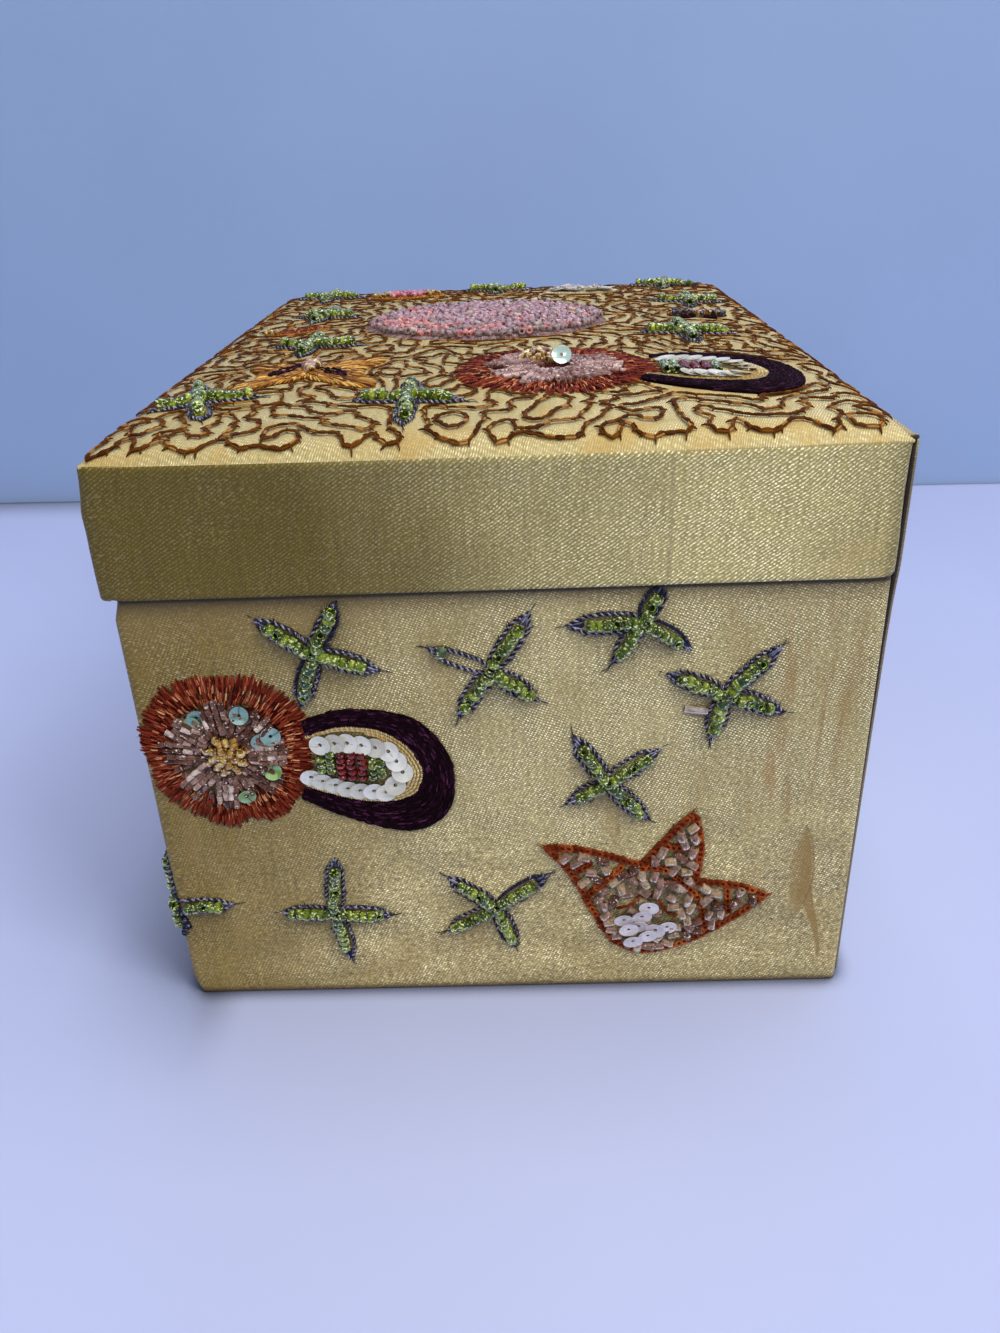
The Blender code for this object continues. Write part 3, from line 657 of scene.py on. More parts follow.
def satin(name, base, dark, painted_highlight_col, ang=-24.0, p=0.47, q=0.62, ang2=62.0, gain=1.0, bump=0.00009, rough=0.44, sheen=0.06,
          painted_light_fn=None, extra=None, use_st=True, wa=1.0, wb=0.75, least=0.18, coarse=0.3, twill=1.0, calm=0.5, painted_glints=0.0, shade=0.0):
    """Satin weave: rows of short bright floats on a slant, slubs, soft creases, and a slow change of painted light and
    shade, with painted highlights and sparkles. A light function, when given, sets from 0 to 1 how far the nap is
    painted as in light."""
    k = Mat(name)
    st = k.attr("st") if use_st else k.obj()
    wob = k.vscale(k.vadd(k.noise_col(st, 0.07, 1.0), (-0.5, -0.5, -0.5)), 2.2)
    w = k.vadd(k.vadd(st, wob), k.vscale(k.vadd(k.noise_col(st, 1.1, 1.0), (-0.5, -0.5, -0.5)), 0.34))
    a = k.math("SINE", k.dot(w, (TAU / p * sin(radians(-ang)), TAU / p * cos(radians(ang)), 0.0)))
    b = k.math("SINE", k.dot(w, (TAU / q * cos(radians(ang2 - 90)), TAU / q * sin(radians(ang2 - 90)), 0.0)))
    dots = k.math("MULTIPLY", k.math("MULTIPLY_ADD", a, 0.48 * wa, 1 - 0.48 * wa), k.math("MULTIPLY_ADD", b, 0.46 * wb, 1 - 0.46 * wb))
    mid = (1 - 0.48 * wa) * (1 - 0.46 * wb)
    even = k.rng(k.noise(k.vmul(st, (1.0, 0.8, 1.0)), 0.10, 3.0, 0.6), 0.36, 0.64, calm * twill, twill)
    dots = k.math("MULTIPLY_ADD", k.math("SUBTRACT", dots, mid), even, mid)
    painted_sparkle = k.noise(k.vmul(st, (1.0, 1.5, 1.0)), 1.3, 2.0, 0.7)
    slub = k.noise(k.vmul(st, (0.09, 1.4, 1.0)), 1.0, 3.0, 0.6)
    warp = k.noise(k.vmul(st, (1.1, 0.05, 1.0)), 1.0, 2.0, 0.6)
    broad = k.noise(st, 0.03, 3.0, 0.55)
    # painted light and shade: the light share runs from the dark colour, a painted shade, up to base; with no light
    # function it is a slow random change of colour
    painted_light_or_tone = k.rng(broad, 0.34, 0.66, 0.55, 1.0) if painted_light_fn is None else k.math("MULTIPLY", painted_light_fn(k, st), k.rng(broad, 0.3, 0.7, 0.8, 1.08))
    col = k.mix(painted_light_or_tone, dark, base)
    grain = k.math("MULTIPLY", k.rng(painted_sparkle, 0.3, 0.72, 0.35, 1.5, False), dots)
    power = k.math("MULTIPLY_ADD", painted_light_or_tone, 1.0 - least, least)
    crush = k.rng(k.noise(k.vmul(st, (1.0, 0.7, 1.0)), 0.075, 2.0, 0.5), 0.40, 0.66, 0.0, 1.0)
    # painted highlight: the floats take the bright colour more where the light share is high
    painted_float_highlight = k.math("MULTIPLY", k.math("MULTIPLY", k.rng(grain, 0.30, 1.0), k.math("MULTIPLY_ADD", painted_light_or_tone, 0.88, 0.12)), 0.9 * gain, clamp=True)
    col = k.mix(painted_float_highlight, col, painted_highlight_col)
    f = k.math("MULTIPLY_ADD", k.math("MULTIPLY", k.math("SUBTRACT", grain, 0.36), power), 0.95 * gain, 0.96)
    f = k.math("ADD", f, k.math("MULTIPLY", k.math("SUBTRACT", slub, 0.5), 0.26))
    f = k.math("ADD", f, k.math("MULTIPLY", k.math("SUBTRACT", warp, 0.5), 0.5))
    glit = k.noise(k.vmul(st, (1.0, 1.25, 1.0)), 1.05, 1.0, 0.5)
    f = k.math("ADD", f, k.math("MULTIPLY", k.math("MULTIPLY", k.math("SUBTRACT", glit, 0.5), coarse), k.math("MULTIPLY_ADD", crush, 0.9, 0.5)))
    col = k.shade(col, f)
    # painted glints: clustered specks of the bright colour
    if painted_glints:
        gl = k.noise(k.vmul(st, (1.0, 1.5, 1.0)), 1.05, 2.0, 0.6)
        clus = k.rng(k.noise(k.vmul(st, (1.0, 0.8, 1.0)), 0.085, 3.0, 0.65), 0.42, 0.62, 0.12, 1.0)
        col = k.mix(k.math("MULTIPLY", k.math("MULTIPLY", k.rng(gl, 0.555, 0.68), clus), painted_glints), col, painted_highlight_col)
    if extra:
        col = extra(k, st, col)
    if shade:
        # the upper side of each raised figure keeps the light off the cloth just below it
        lean = k.vadd(k.vscale(k.node("NewGeometry").outputs["Normal"], 0.62), (0.0, 0.0, 0.78))
        under = k.node("AmbientOcclusion", samples=6)
        under.inputs["Distance"].default_value = 0.0052
        k.t.links.new(lean, under.inputs["Normal"])
        col = k.shade(col, k.rng(under.outputs["AO"], 0.34, 0.78, 1.0 - shade, 1.0))
    k.color(col)
    k.rough(k.rng(painted_sparkle, 0.3, 0.75, rough + 0.1, rough - 0.14))
    crease = k.noise(st, 0.11, 2.0, 0.5)
    n0 = k.bump(crease, 0.0006, 0.35)
    k.normal(k.bump(k.math("ADD", grain, k.math("MULTIPLY", painted_sparkle, 0.5)), bump, 0.9, n0))
    k.set(Sheen_Weight=sheen, Sheen_Roughness=0.35, Sheen_Tint=(1.0, 0.93, 0.7, 1.0), Specular_IOR_Level=0.3)
    return k.m


def thread(name, stops, rough=0.42, sheen=0.4, fibre=3.2, metal=0.0, spec=0.5):
    """Twisted floss: strands tinted one by one, with fine fibres."""
    k = Mat(name)
    o = k.obj()
    fine = k.noise(o, fibre, 2.0, 0.7)
    col = k.ramp(k.attr("tint", "Fac"), stops)
    col = k.shade(col, k.rng(fine, 0.25, 0.8, 0.62, 1.45, False))
    k.color(col)
    k.rough(k.rng(fine, 0.3, 0.7, rough + 0.12, rough - 0.1))
    k.normal(k.bump(fine, 0.00008, 0.6))
    k.set(Sheen_Weight=sheen * 0.1, Sheen_Roughness=0.4, Metallic=metal, Specular_IOR_Level=spec * 0.36)
    return k.m


def glass(name, stops, trans=0.55, rough=0.05, ior=1.4, coat=0.8, painted_end_shade=None, painted_sparkle=None, size=1.5, much=0.62, spec=0.3):
    """Bead glass: a tint for each bead, painted darker towards its ends, where no light comes up from the hole, with
    painted sparkles.
    """
    k = Mat(name)
    o = k.obj()
    sm = k.noise(o, 0.9, 2.0, 0.5)
    col = k.ramp(k.attr("tint", "Fac"), stops)
    # painted shade at the ends of each bead
    if painted_end_shade:
        col = k.mix(k.rng(k.attr("glow", "Fac"), 0.05, 0.85), painted_end_shade, col)
    col = k.shade(col, k.rng(sm, 0.3, 0.7, 0.62, 1.34, False))
    # painted highlights: small sparkles in the sparkle colour, with painted dark facets beside them
    if painted_sparkle:
        hit = k.noise(k.vmul(o, (1.0, 1.0, 1.3)), size, 1.5, 0.6)
        col = k.mix(k.rng(hit, much, much + 0.07), col, painted_sparkle)
        col = k.shade(col, k.rng(hit, 0.30, 0.40, 0.5, 1.0))
    k.color(col)
    k.rough(k.rng(sm, 0.35, 0.7, rough, rough + 0.07))
    k.normal(k.bump(sm, 0.00012, 0.35))
    k.set(Transmission_Weight=trans, IOR=ior, Coat_Weight=coat * 0.4, Coat_Roughness=0.04, Specular_IOR_Level=spec)
    return k.m


def metal(name, colr, rough=0.2):
    k = Mat(name)
    fine = k.noise(k.obj(), 2.6, 2.0, 0.6)
    k.color(k.shade(colr, k.rng(fine, 0.3, 0.7, 0.7, 1.2, False)))
    k.rough(k.rng(fine, 0.3, 0.7, rough, rough + 0.15))
    k.set(Metallic=1.0)
    return k.m


def front_painted_light(k, st):
    """Painted light and shade: the front is painted dark up the left and bright from the middle on; the other sides lie
    between.
    """
    x, z = k.dot(st, (1.0, 0.0, 0.0)), k.dot(st, (0.0, 1.0, 0.0))
    wig = k.math("MULTIPLY", k.math("SUBTRACT", k.noise(k.vmul(st, (1.0, 0.45, 1.0)), 0.055, 2.0, 0.6), 0.5), 44.0)
    xs = k.math("ADD", k.math("ADD", x, wig), k.math("MULTIPLY", z, -0.16))
    t = k.rng(xs, -78.0, -4.0, 0.06, 1.0)
    side = k.rng(x, -74.0, -112.0, 0.0, 0.62)
    return k.math("MAXIMUM", k.math("MULTIPLY", t, k.rng(x, -76.5, -74.0)), side)


def front_marks_and_painted_light(k, st, col):
    """Marks on the base: water marks, streaks and one run near the right; painted glints and sheen near the foot;
    painted shade towards the right; painted shadow under the skirt.
    """
    x, z = k.dot(st, (1.0, 0.0, 0.0)), k.dot(st, (0.0, 1.0, 0.0))
    wig = k.math("MULTIPLY", k.math("SUBTRACT", k.noise(st, 0.09, 3.0, 0.6), 0.5), 16.0)
    # crushed nap towards the foot: painted glints in sharp flecks, painted sheen in duller smears and one band of
    # painted highlight low down
    low = k.math("MULTIPLY", k.rng(z, 66.0, 24.0), k.rng(x, -78.0, -30.0, 0.35, 1.0))
    painted_glint_fleck = k.noise(k.vmul(st, (1.0, 1.3, 1.0)), 0.85, 2.0, 0.7)
    painted_sheen_smear = k.noise(k.vmul(st, (0.7, 1.2, 1.0)), 0.10, 2.0, 0.55)
    col = k.shade(col, k.math("MULTIPLY_ADD", k.math("MULTIPLY", k.math("SUBTRACT", painted_glint_fleck, 0.485), low), 3.4, 1.0))
    fold = k.math("MULTIPLY", k.rng(z, 15.0, 10.0), k.rng(z, 4.0, 8.0))
    col = k.shade(col, k.math("ADD", 1.0, k.math("MULTIPLY", k.math("SUBTRACT", painted_sheen_smear, k.math("MULTIPLY_ADD", fold, -0.12, 0.5)), k.math("MULTIPLY", low, 1.5))))
    col = k.mix(k.math("MULTIPLY", low, 0.22), col, (0.44, 0.315, 0.125))
    # brown vertical streaks
    stre = k.rng(k.noise(k.vmul(st, (0.34, 0.022, 1.0)), 1.0, 3.0, 0.65), 0.5, 0.7)
    win = k.math("MULTIPLY", k.rng(x, 46.0, 60.0), k.rng(x, 75.0, 68.0))
    win = k.math("MULTIPLY", win, k.math("MULTIPLY", k.rng(z, 26.0, 50.0), k.rng(z, 116.0, 84.0)))
    col = k.mix(k.math("MULTIPLY", k.math("MULTIPLY", stre, win), 0.75), col, (0.33, 0.19, 0.055))
    soft = k.math("MULTIPLY", k.rng(k.noise(k.vmul(st, (0.10, 0.03, 1.0)), 1.0, 3.0, 0.6), 0.52, 0.7), k.rng(x, -84.0, -60.0))
    col = k.mix(k.math("MULTIPLY", soft, 0.4), col, (0.36, 0.24, 0.08))
    # painted shade: a little brighter left of the middle, darker towards the right edge
    col = k.shade(col, k.rng(x, 28.0, 58.0, 1.05, 0.94))
    # the run: a drop with a long tail towards the lower corner
    ex = k.math("DIVIDE", k.math("SUBTRACT", k.math("ADD", x, k.math("MULTIPLY", wig, 0.10)), 65.0), 2.9)
    ez = k.math("DIVIDE", k.math("SUBTRACT", z, 31.5), k.rng(z, 29.0, 34.0, 12.0, 13.0))
    er = k.math("ADD", k.math("ABSOLUTE", ex), k.math("MULTIPLY", ez, ez))
    right = k.rng(ex, -0.6, 0.5)
    body = k.math("MULTIPLY", k.math("SUBTRACT", 1.0, k.rng(er, 0.74, 1.08)), k.math("MULTIPLY_ADD", right, 0.4, 0.6))
    tx = k.math("SUBTRACT", k.math("ADD", x, k.math("MULTIPLY", wig, 0.04)), k.math("ADD", 66.4, k.math("MULTIPLY", k.rng(z, 30.0, 8.0), 4.6)))
    tail = k.math("MULTIPLY", k.rng(k.math("SUBTRACT", k.math("ABSOLUTE", tx), k.rng(z, 8.0, 26.0, 0.0, 0.9)), 0.55, 0.2), k.math("MULTIPLY", k.rng(z, 5.0, 9.0), k.rng(z, 34.0, 28.0)))
    col = k.mix(k.math("MULTIPLY", k.math("MAXIMUM", body, k.math("MULTIPLY", tail, 0.9)), 0.88), col, (0.30, 0.185, 0.045))
    rim = k.math("MULTIPLY", k.math("MULTIPLY", k.rng(er, 0.86, 0.98), k.rng(er, 1.12, 1.0)), right)
    col = k.mix(k.math("MULTIPLY", rim, 0.6), col, (0.20, 0.115, 0.03))
    # soft tide marks along the foot, and a painted shadow below the skirt, strongest on the left
    foot = k.math("MULTIPLY", k.rng(z, 24.0, 5.0), k.rng(k.noise(st, 0.07, 3.0, 0.6), 0.42, 0.62))
    col = k.mix(k.math("MULTIPLY", foot, 0.34), col, (0.36, 0.25, 0.08))
    # the painted shadow stops below the edge of the closed lid, so the part that the lid covers stays clear of it
    below_lid_edge = k.rng(z, 104.2, 102.4)
    dust = k.math("MULTIPLY", k.rng(x, -30.0, 12.0, 0.52, 0.16), below_lid_edge)
    col = k.mix(k.math("MULTIPLY", k.rng(k.math("ADD", z, k.math("MULTIPLY", wig, 0.5)), 84.0, 103.0), dust), col, (0.27, 0.185, 0.06))
    rx = k.math("ABSOLUTE", k.math("SUBTRACT", k.math("ADD", x, k.math("MULTIPLY", wig, 0.3)), k.math("MULTIPLY_ADD", z, 0.07, 52.6)))
    rusty = k.math("MULTIPLY", k.math("MULTIPLY", k.rng(rx, 2.6, 0.4), k.rng(z, 46.0, 56.0)), k.math("MULTIPLY", k.rng(z, 92.0, 76.0), k.rng(k.noise(k.vmul(st, (0.5, 0.06, 1.0)), 1.0, 3.0, 0.65), 0.42, 0.6)))
    col = k.mix(k.math("MULTIPLY", rusty, 0.6), col, (0.36, 0.20, 0.06))
    # painted shadow just under the skirt, and a darker painted shadow line right at its edge
    col = k.mix(k.math("MULTIPLY", k.math("MULTIPLY", k.rng(z, 97.0, 101.6), 0.35), below_lid_edge), col, (0.13, 0.085, 0.03))
    col = k.mix(k.math("MULTIPLY", k.math("MULTIPLY", k.rng(z, 100.9, 101.5), 0.85), k.rng(z, 103.0, 102.2)), col, (0.035, 0.022, 0.010))
    return k.mix(k.math("MULTIPLY", k.rng(z, 2.4, 0.5), 0.75), col, (0.13, 0.08, 0.03))


def panel_painted_shadow(k, st, col):
    """Painted shadow: the panel's turned ends are painted dark where they sit back, and a near-black painted shadow
    lies on the inner side of each fold.
    """
    y = k.math("ABSOLUTE", k.dot(st, (1.0, 0.0, 0.0)))
    end = k.math("MULTIPLY", k.rng(y, 95.6, 97.2), k.rng(k.dot(st, (0.0, 1.0, 0.0)), 127.0, 122.0))
    col = k.mix(k.math("MULTIPLY", end, 0.8), col, (0.15, 0.108, 0.064))
    o = k.obj()
    x = k.math("SUBTRACT", k.dot(o, (1.0, 0.0, 0.0)), k.math("MULTIPLY", k.dot(o, (0.0, 0.0, 1.0)), 0.0031))
    return k.mix(k.math("MULTIPLY", k.rng(x, 77.05, 76.8), k.math("MULTIPLY", k.rng(y, 96.9, 97.3), 0.94)), col, (0.010, 0.007, 0.005))


def band_painted_light(k, st):
    # painted light and shade: the band is painted dark on the left and bright from the middle on, a little darker again
    # towards its right end; the other sides lie between
    x, z = k.dot(st, (1.0, 0.0, 0.0)), k.dot(st, (0.0, 1.0, 0.0))
    wig = k.math("MULTIPLY", k.math("SUBTRACT", k.noise(k.vmul(st, (1.0, 0.5, 1.0)), 0.04, 2.0, 0.6), 0.5), 40.0)
    t = k.rng(k.math("ADD", x, wig), -38.0, 30.0, 0.0, 1.0)
    far = k.rng(x, 77.0, 52.0, 0.82, 1.0)
    side = k.rng(x, -76.0, -120.0, 0.0, 0.6)
    return k.math("MAXIMUM", k.math("MULTIPLY", k.math("MULTIPLY", t, far), k.rng(x, -78.0, -75.0)), side)


def band_marks_and_painted_shade(k, st, col):
    x, z = k.dot(st, (1.0, 0.0, 0.0)), k.dot(st, (0.0, 1.0, 0.0))
    seam = k.math("MULTIPLY", k.rng(x, 32.0, 33.0), k.rng(x, 33.7, 33.1))
    col = k.mix(k.math("MULTIPLY", seam, 0.45), col, (0.30, 0.23, 0.11))
    blot = k.math("MULTIPLY", k.math("MULTIPLY", k.rng(x, 52.0, 66.0), k.rng(x, 76.0, 71.0)), k.math("MULTIPLY", k.rng(z, 114.0, 106.0), k.rng(k.noise(st, 0.16, 2.0, 0.5), 0.36, 0.6)))
    col = k.mix(k.math("MULTIPLY", blot, 0.34), col, (0.52, 0.36, 0.13))
    # painted shade where the band turns round its right end
    col = k.shade(col, k.rng(x, 72.4, 75.2, 1.0, 0.7))
    return k.shade(col, k.rng(x, 32.6, 33.2, 0.98, 1.08))


def top_marks_and_painted_shade(k, st, col):
    x, y = k.dot(st, (1.0, 0.0, 0.0)), k.dot(st, (0.0, 1.0, 0.0))
    spot = k.rng(k.noise(st, 0.085, 2.0, 0.55), 0.53, 0.66)
    col = k.mix(k.math("MULTIPLY", spot, 0.55), col, (0.52, 0.32, 0.075))
    # painted shade: darker towards the left, a little brighter on the right
    return k.shade(col, k.rng(x, -76.0, 60.0, 0.9, 1.04))


M_base = satin("satin_base", (0.54, 0.447, 0.195), (0.200, 0.130, 0.014), (0.95, 0.875, 0.59), p=0.50, q=0.66, gain=1.6, least=0.5, coarse=0.8, painted_light_fn=front_painted_light, extra=front_marks_and_painted_light,
               twill=0.84, calm=0.5, painted_glints=0.30, shade=0.58)
M_band = satin("satin_band", (0.455, 0.378, 0.140), (0.122, 0.084, 0.003), (0.90, 0.84, 0.56), ang=35.0, p=0.60, q=0.74, ang2=-32.0, wb=0.42, bump=0.00007,
               painted_light_fn=band_painted_light, extra=band_marks_and_painted_shade, twill=0.86, calm=0.66, gain=1.12, painted_glints=0.12)
M_top = satin("satin_top", (0.56, 0.45, 0.19), (0.50, 0.37, 0.12), (0.86, 0.78, 0.50), ang=68.0, p=0.46, q=0.9, ang2=-20.0, wb=0.5,
              gain=0.8, extra=top_marks_and_painted_shade)
M_panel = satin("satin_panel", (0.46, 0.36, 0.15), (0.36, 0.27, 0.10), (0.70, 0.61, 0.36), extra=panel_painted_shadow)
M_lining = satin("satin_lining", (0.50, 0.40, 0.18), (0.42, 0.32, 0.13), (0.74, 0.66, 0.42), gain=0.6, bump=0.00004, rough=0.36, sheen=0.12)

k = Mat("card")
fib = k.noise(k.vmul(k.obj(), (1.0, 1.0, 0.35)), 0.9, 4.0, 0.7)
fl = k.noise(k.obj(), 0.12, 3.0, 0.6)
col = k.ramp(fib, [(0.3, (0.24, 0.18, 0.115)), (0.55, (0.40, 0.32, 0.22)), (0.8, (0.52, 0.44, 0.32))])
k.color(k.shade(col, k.rng(fl, 0.3, 0.7, 0.85, 1.12, False))).rough(k.rng(fib, 0.3, 0.7, 0.95, 0.8))
k.normal(k.bump(fib, 0.00015, 0.6))
M_card = k.m

k = Mat("underside_cloth")
o = k.obj()
wv = k.math("MULTIPLY", k.math("SINE", k.dot(o, (9.0, 0.0, 0.0))), k.math("SINE", k.dot(o, (0.0, 9.0, 0.0))))
fz = k.noise(o, 1.4, 3.0, 0.7)
k.color(k.shade(k.ramp(fz, [(0.3, (0.16, 0.12, 0.06)), (0.7, (0.30, 0.235, 0.12))]), k.math("ADD", 1.0, k.math("MULTIPLY", wv, 0.2))))
k.rough(k.rng(fz, 0.3, 0.7, 0.95, 0.75)).normal(k.bump(k.math("ADD", wv, fz), 0.00012, 0.7))
k.set(Sheen_Weight=0.3, Sheen_Roughness=0.6)
M_under = k.m

M_green = glass("green_glass", [(0.0, (0.045, 0.088, 0.003)), (0.35, (0.105, 0.175, 0.006)), (0.65, (0.185, 0.262, 0.010)), (0.86, (0.32, 0.40, 0.025)),
                                (0.93, (0.030, 0.085, 0.030)), (1.0, (0.08, 0.16, 0.10))], trans=0.25, coat=0.3, painted_end_shade=(0.034, 0.055, 0.003),
                painted_sparkle=(0.90, 0.96, 0.46), size=1.7, much=0.575, spec=0.12)
# painted light: a lighter copy of green_glass for the lid stars, with less coat and specular
M_green_painted_lit = glass("green_glass_lid_painted_lit", [(0.0, (0.066, 0.120, 0.003)), (0.35, (0.150, 0.228, 0.006)), (0.65, (0.255, 0.335, 0.010)), (0.86, (0.42, 0.50, 0.025)),
                                       (0.93, (0.050, 0.115, 0.030)), (1.0, (0.12, 0.20, 0.10))], trans=0.2, coat=0.12, painted_end_shade=(0.050, 0.076, 0.003),
                   painted_sparkle=(1.0, 1.0, 0.50), size=1.7, much=0.565, spec=0.08)
M_greenin = metal("green_lining", (0.22, 0.33, 0.04), 0.2)
M_gold_b = glass("gold_glass", [(0.0, (0.40, 0.19, 0.012)), (0.6, (0.66, 0.38, 0.045)), (1.0, (0.95, 0.75, 0.30))], trans=0.25, painted_end_shade=(0.26, 0.105, 0.008), coat=0.6,
                 painted_sparkle=(1.0, 0.92, 0.52), size=1.9, much=0.585)
M_gold_in = metal("gold_lining", (0.55, 0.30, 0.06), 0.25)
M_pink = glass("pink_glass", [(0.0, (0.125, 0.060, 0.045)), (0.4, (0.29, 0.160, 0.125)), (0.75, (0.48, 0.335, 0.285)), (1.0, (0.82, 0.70, 0.64))], trans=0.45, coat=0.5,
               painted_sparkle=(0.96, 0.88, 0.84), size=1.6, much=0.61, spec=0.2)
M_rose_b = glass("rose_bugle_glass", [(0.0, (0.145, 0.060, 0.042)), (0.5, (0.31, 0.152, 0.118)), (1.0, (0.57, 0.375, 0.32))], trans=0.1, coat=0.05,
                 painted_sparkle=(0.90, 0.75, 0.68), size=1.5, much=0.63, spec=0.08)
M_rim = glass("dusty_glass", [(0.0, (0.20, 0.125, 0.115)), (0.5, (0.31, 0.205, 0.20)), (1.0, (0.44, 0.32, 0.32))], trans=0.1, coat=0.1, spec=0.12)
M_clear = glass("clear_glass", [(0.0, (0.33, 0.175, 0.115)), (0.45, (0.52, 0.33, 0.235)), (0.75, (0.64, 0.46, 0.25)), (1.0, (0.82, 0.66, 0.47))], trans=0.55, ior=1.31, coat=0.02,
                painted_sparkle=(1.0, 0.90, 0.72), size=1.5, much=0.62, spec=0.08)
M_lilac = glass("lilac_glass", [(0.0, (0.38, 0.20, 0.22)), (0.5, (0.47, 0.28, 0.305)), (1.0, (0.58, 0.39, 0.43))], trans=0.15, coat=0.1, spec=0.14)
M_flow = glass("flower_glass", [(0.0, (0.070, 0.026, 0.016)), (0.4, (0.160, 0.070, 0.046)), (0.75, (0.32, 0.185, 0.138)), (1.0, (0.76, 0.60, 0.50))], trans=0.14, ior=1.3, coat=0.06,
               painted_sparkle=(0.95, 0.84, 0.74), size=1.6, much=0.625, spec=0.07)
M_pink_in = thread("pink_hole", [(0.0, (0.22, 0.12, 0.10)), (1.0, (0.40, 0.26, 0.24))])
M_red = glass("red_glass", [(0.0, (0.11, 0.004, 0.005)), (0.6, (0.23, 0.010, 0.009)), (1.0, (0.40, 0.05, 0.015))], trans=0.1, painted_end_shade=(0.045, 0.002, 0.003), coat=0.5,
              painted_sparkle=(0.72, 0.22, 0.17), size=1.4, much=0.64, spec=0.15)
M_red_in = metal("red_lining", (0.20, 0.03, 0.03), 0.25)
M_rust = thread("rust_thread", [(0.0, (0.038, 0.0025, 0.001)), (0.4, (0.122, 0.014, 0.006)), (0.75, (0.28, 0.044, 0.018)), (0.92, (0.50, 0.145, 0.060)), (1.0, (0.82, 0.43, 0.20))], sheen=0.05, spec=0.08)
M_rust2 = thread("rust_cord", [(0.0, (0.060, 0.007, 0.002)), (0.4, (0.17, 0.026, 0.006)), (0.75, (0.33, 0.066, 0.016)), (0.92, (0.56, 0.19, 0.055)), (1.0, (0.85, 0.46, 0.20))], sheen=0.05, spec=0.08)
M_ochre = thread("ochre_hair", [(0.0, (0.42, 0.26, 0.08)), (1.0, (0.80, 0.62, 0.28))], rough=0.35)
M_purple = thread("purple_thread", [(0.0, (0.004, 0.0006, 0.002)), (0.55, (0.011, 0.0018, 0.0055)), (0.85, (0.029, 0.0052, 0.018)), (1.0, (0.090, 0.022, 0.060))],
                  rough=0.75, sheen=0.05, spec=0.15)
M_zari = thread("gold_zari", [(0.0, (0.24, 0.145, 0.035)), (0.45, (0.50, 0.35, 0.115)), (1.0, (0.98, 0.80, 0.42))], rough=0.3, sheen=0.1, metal=0.55)
M_navy = thread("navy_thread", [(0.0, (0.009, 0.010, 0.026)), (0.7, (0.028, 0.028, 0.062)), (1.0, (0.095, 0.09, 0.165))], rough=0.4, sheen=0.1, spec=0.2)
M_silver = thread("silver_thread", [(0.0, (0.12, 0.12, 0.165)), (0.6, (0.28, 0.27, 0.335)), (1.0, (0.62, 0.59, 0.66))], rough=0.3, sheen=0.1, metal=0.3)
M_brown = thread("brown_thread", [(0.0, (0.068, 0.017, 0.001)), (0.6, (0.128, 0.040, 0.003)), (0.9, (0.20, 0.074, 0.008)), (1.0, (0.42, 0.20, 0.05))], sheen=0.05, spec=0.08)
M_orange = thread("orange_thread", [(0.0, (0.08, 0.025, 0.003)), (0.4, (0.26, 0.088, 0.006)), (0.75, (0.49, 0.205, 0.016)), (1.0, (0.95, 0.64, 0.19))], spec=0.3)
M_cream = thread("cream_thread", [(0.0, (0.46, 0.38, 0.22)), (1.0, (0.76, 0.70, 0.52))])

k = Mat("white_sequin")
o = k.obj()
f = k.noise(o, 0.5, 2.0, 0.5)
k.color(k.shade(k.ramp(k.attr("tint", "Fac"), [(0.0, (0.60, 0.57, 0.48)), (0.6, (0.79, 0.755, 0.66)), (1.0, (0.87, 0.85, 0.79))]), k.rng(f, 0.3, 0.7, 0.88, 1.06, False)))
k.rough(k.rng(f, 0.3, 0.7, 0.2, 0.34)).normal(k.bump(f, 0.0002, 0.3))
k.set(Coat_Weight=0.5, Coat_Roughness=0.12, Subsurface_Weight=0.1, Subsurface_Scale=0.001, Specular_IOR_Level=0.6)
M_white = k.m

k = Mat("lilac_sequin")
f = k.noise(k.obj(), 0.5, 2.0, 0.5)
k.color(k.shade(k.ramp(k.attr("tint", "Fac"), [(0.0, (0.56, 0.51, 0.54)), (0.6, (0.74, 0.68, 0.71)), (1.0, (0.88, 0.83, 0.86))]), k.rng(f, 0.3, 0.7, 0.85, 1.08, False)))
k.rough(k.rng(f, 0.3, 0.7, 0.2, 0.34)).normal(k.bump(f, 0.0002, 0.3))
k.set(Coat_Weight=0.25, Coat_Roughness=0.12, Specular_IOR_Level=0.4)
M_lilac_seq = k.m

k = Mat("pearl_sequin")
f = k.noise(k.obj(), 0.4, 2.0, 0.5)
k.color(k.ramp(k.math("ADD", k.math("MULTIPLY", k.attr("tint", "Fac"), 0.7), k.math("MULTIPLY", f, 0.3)),
               [(0.0, (0.15, 0.33, 0.31)), (0.34, (0.26, 0.45, 0.40)), (0.5, (0.70, 0.92, 0.86)), (0.66, (0.70, 0.92, 0.86)), (0.85, (0.20, 0.40, 0.07))]))
k.rough(k.rng(f, 0.3, 0.7, 0.1, 0.22)).normal(k.bump(f, 0.0002, 0.3))
k.set(Coat_Weight=0.8, Coat_Roughness=0.06, Metallic=0.15, Transmission_Weight=0.3)
M_pearl = k.m

# ------------------------------------------------------------------ stage, lights and camera
def plain_mat(name, colr, rough, amp=0.03):
    k = Mat(name)
    f = k.noise(k.obj(), 0.006, 3.0, 0.5)
    k.color(k.shade(colr, k.rng(f, 0.3, 0.7, 1 - amp, 1 + amp, False))).rough(rough)
    return k.m


def quad(name, pts, mat):
    b = Buf()
    b.add(pts, [[0, 1, 2, 3]])
    return make(name, b, [mat])


k = Mat("floor_paint")
o = k.obj()
f = k.noise(o, 0.006, 3.0, 0.5)
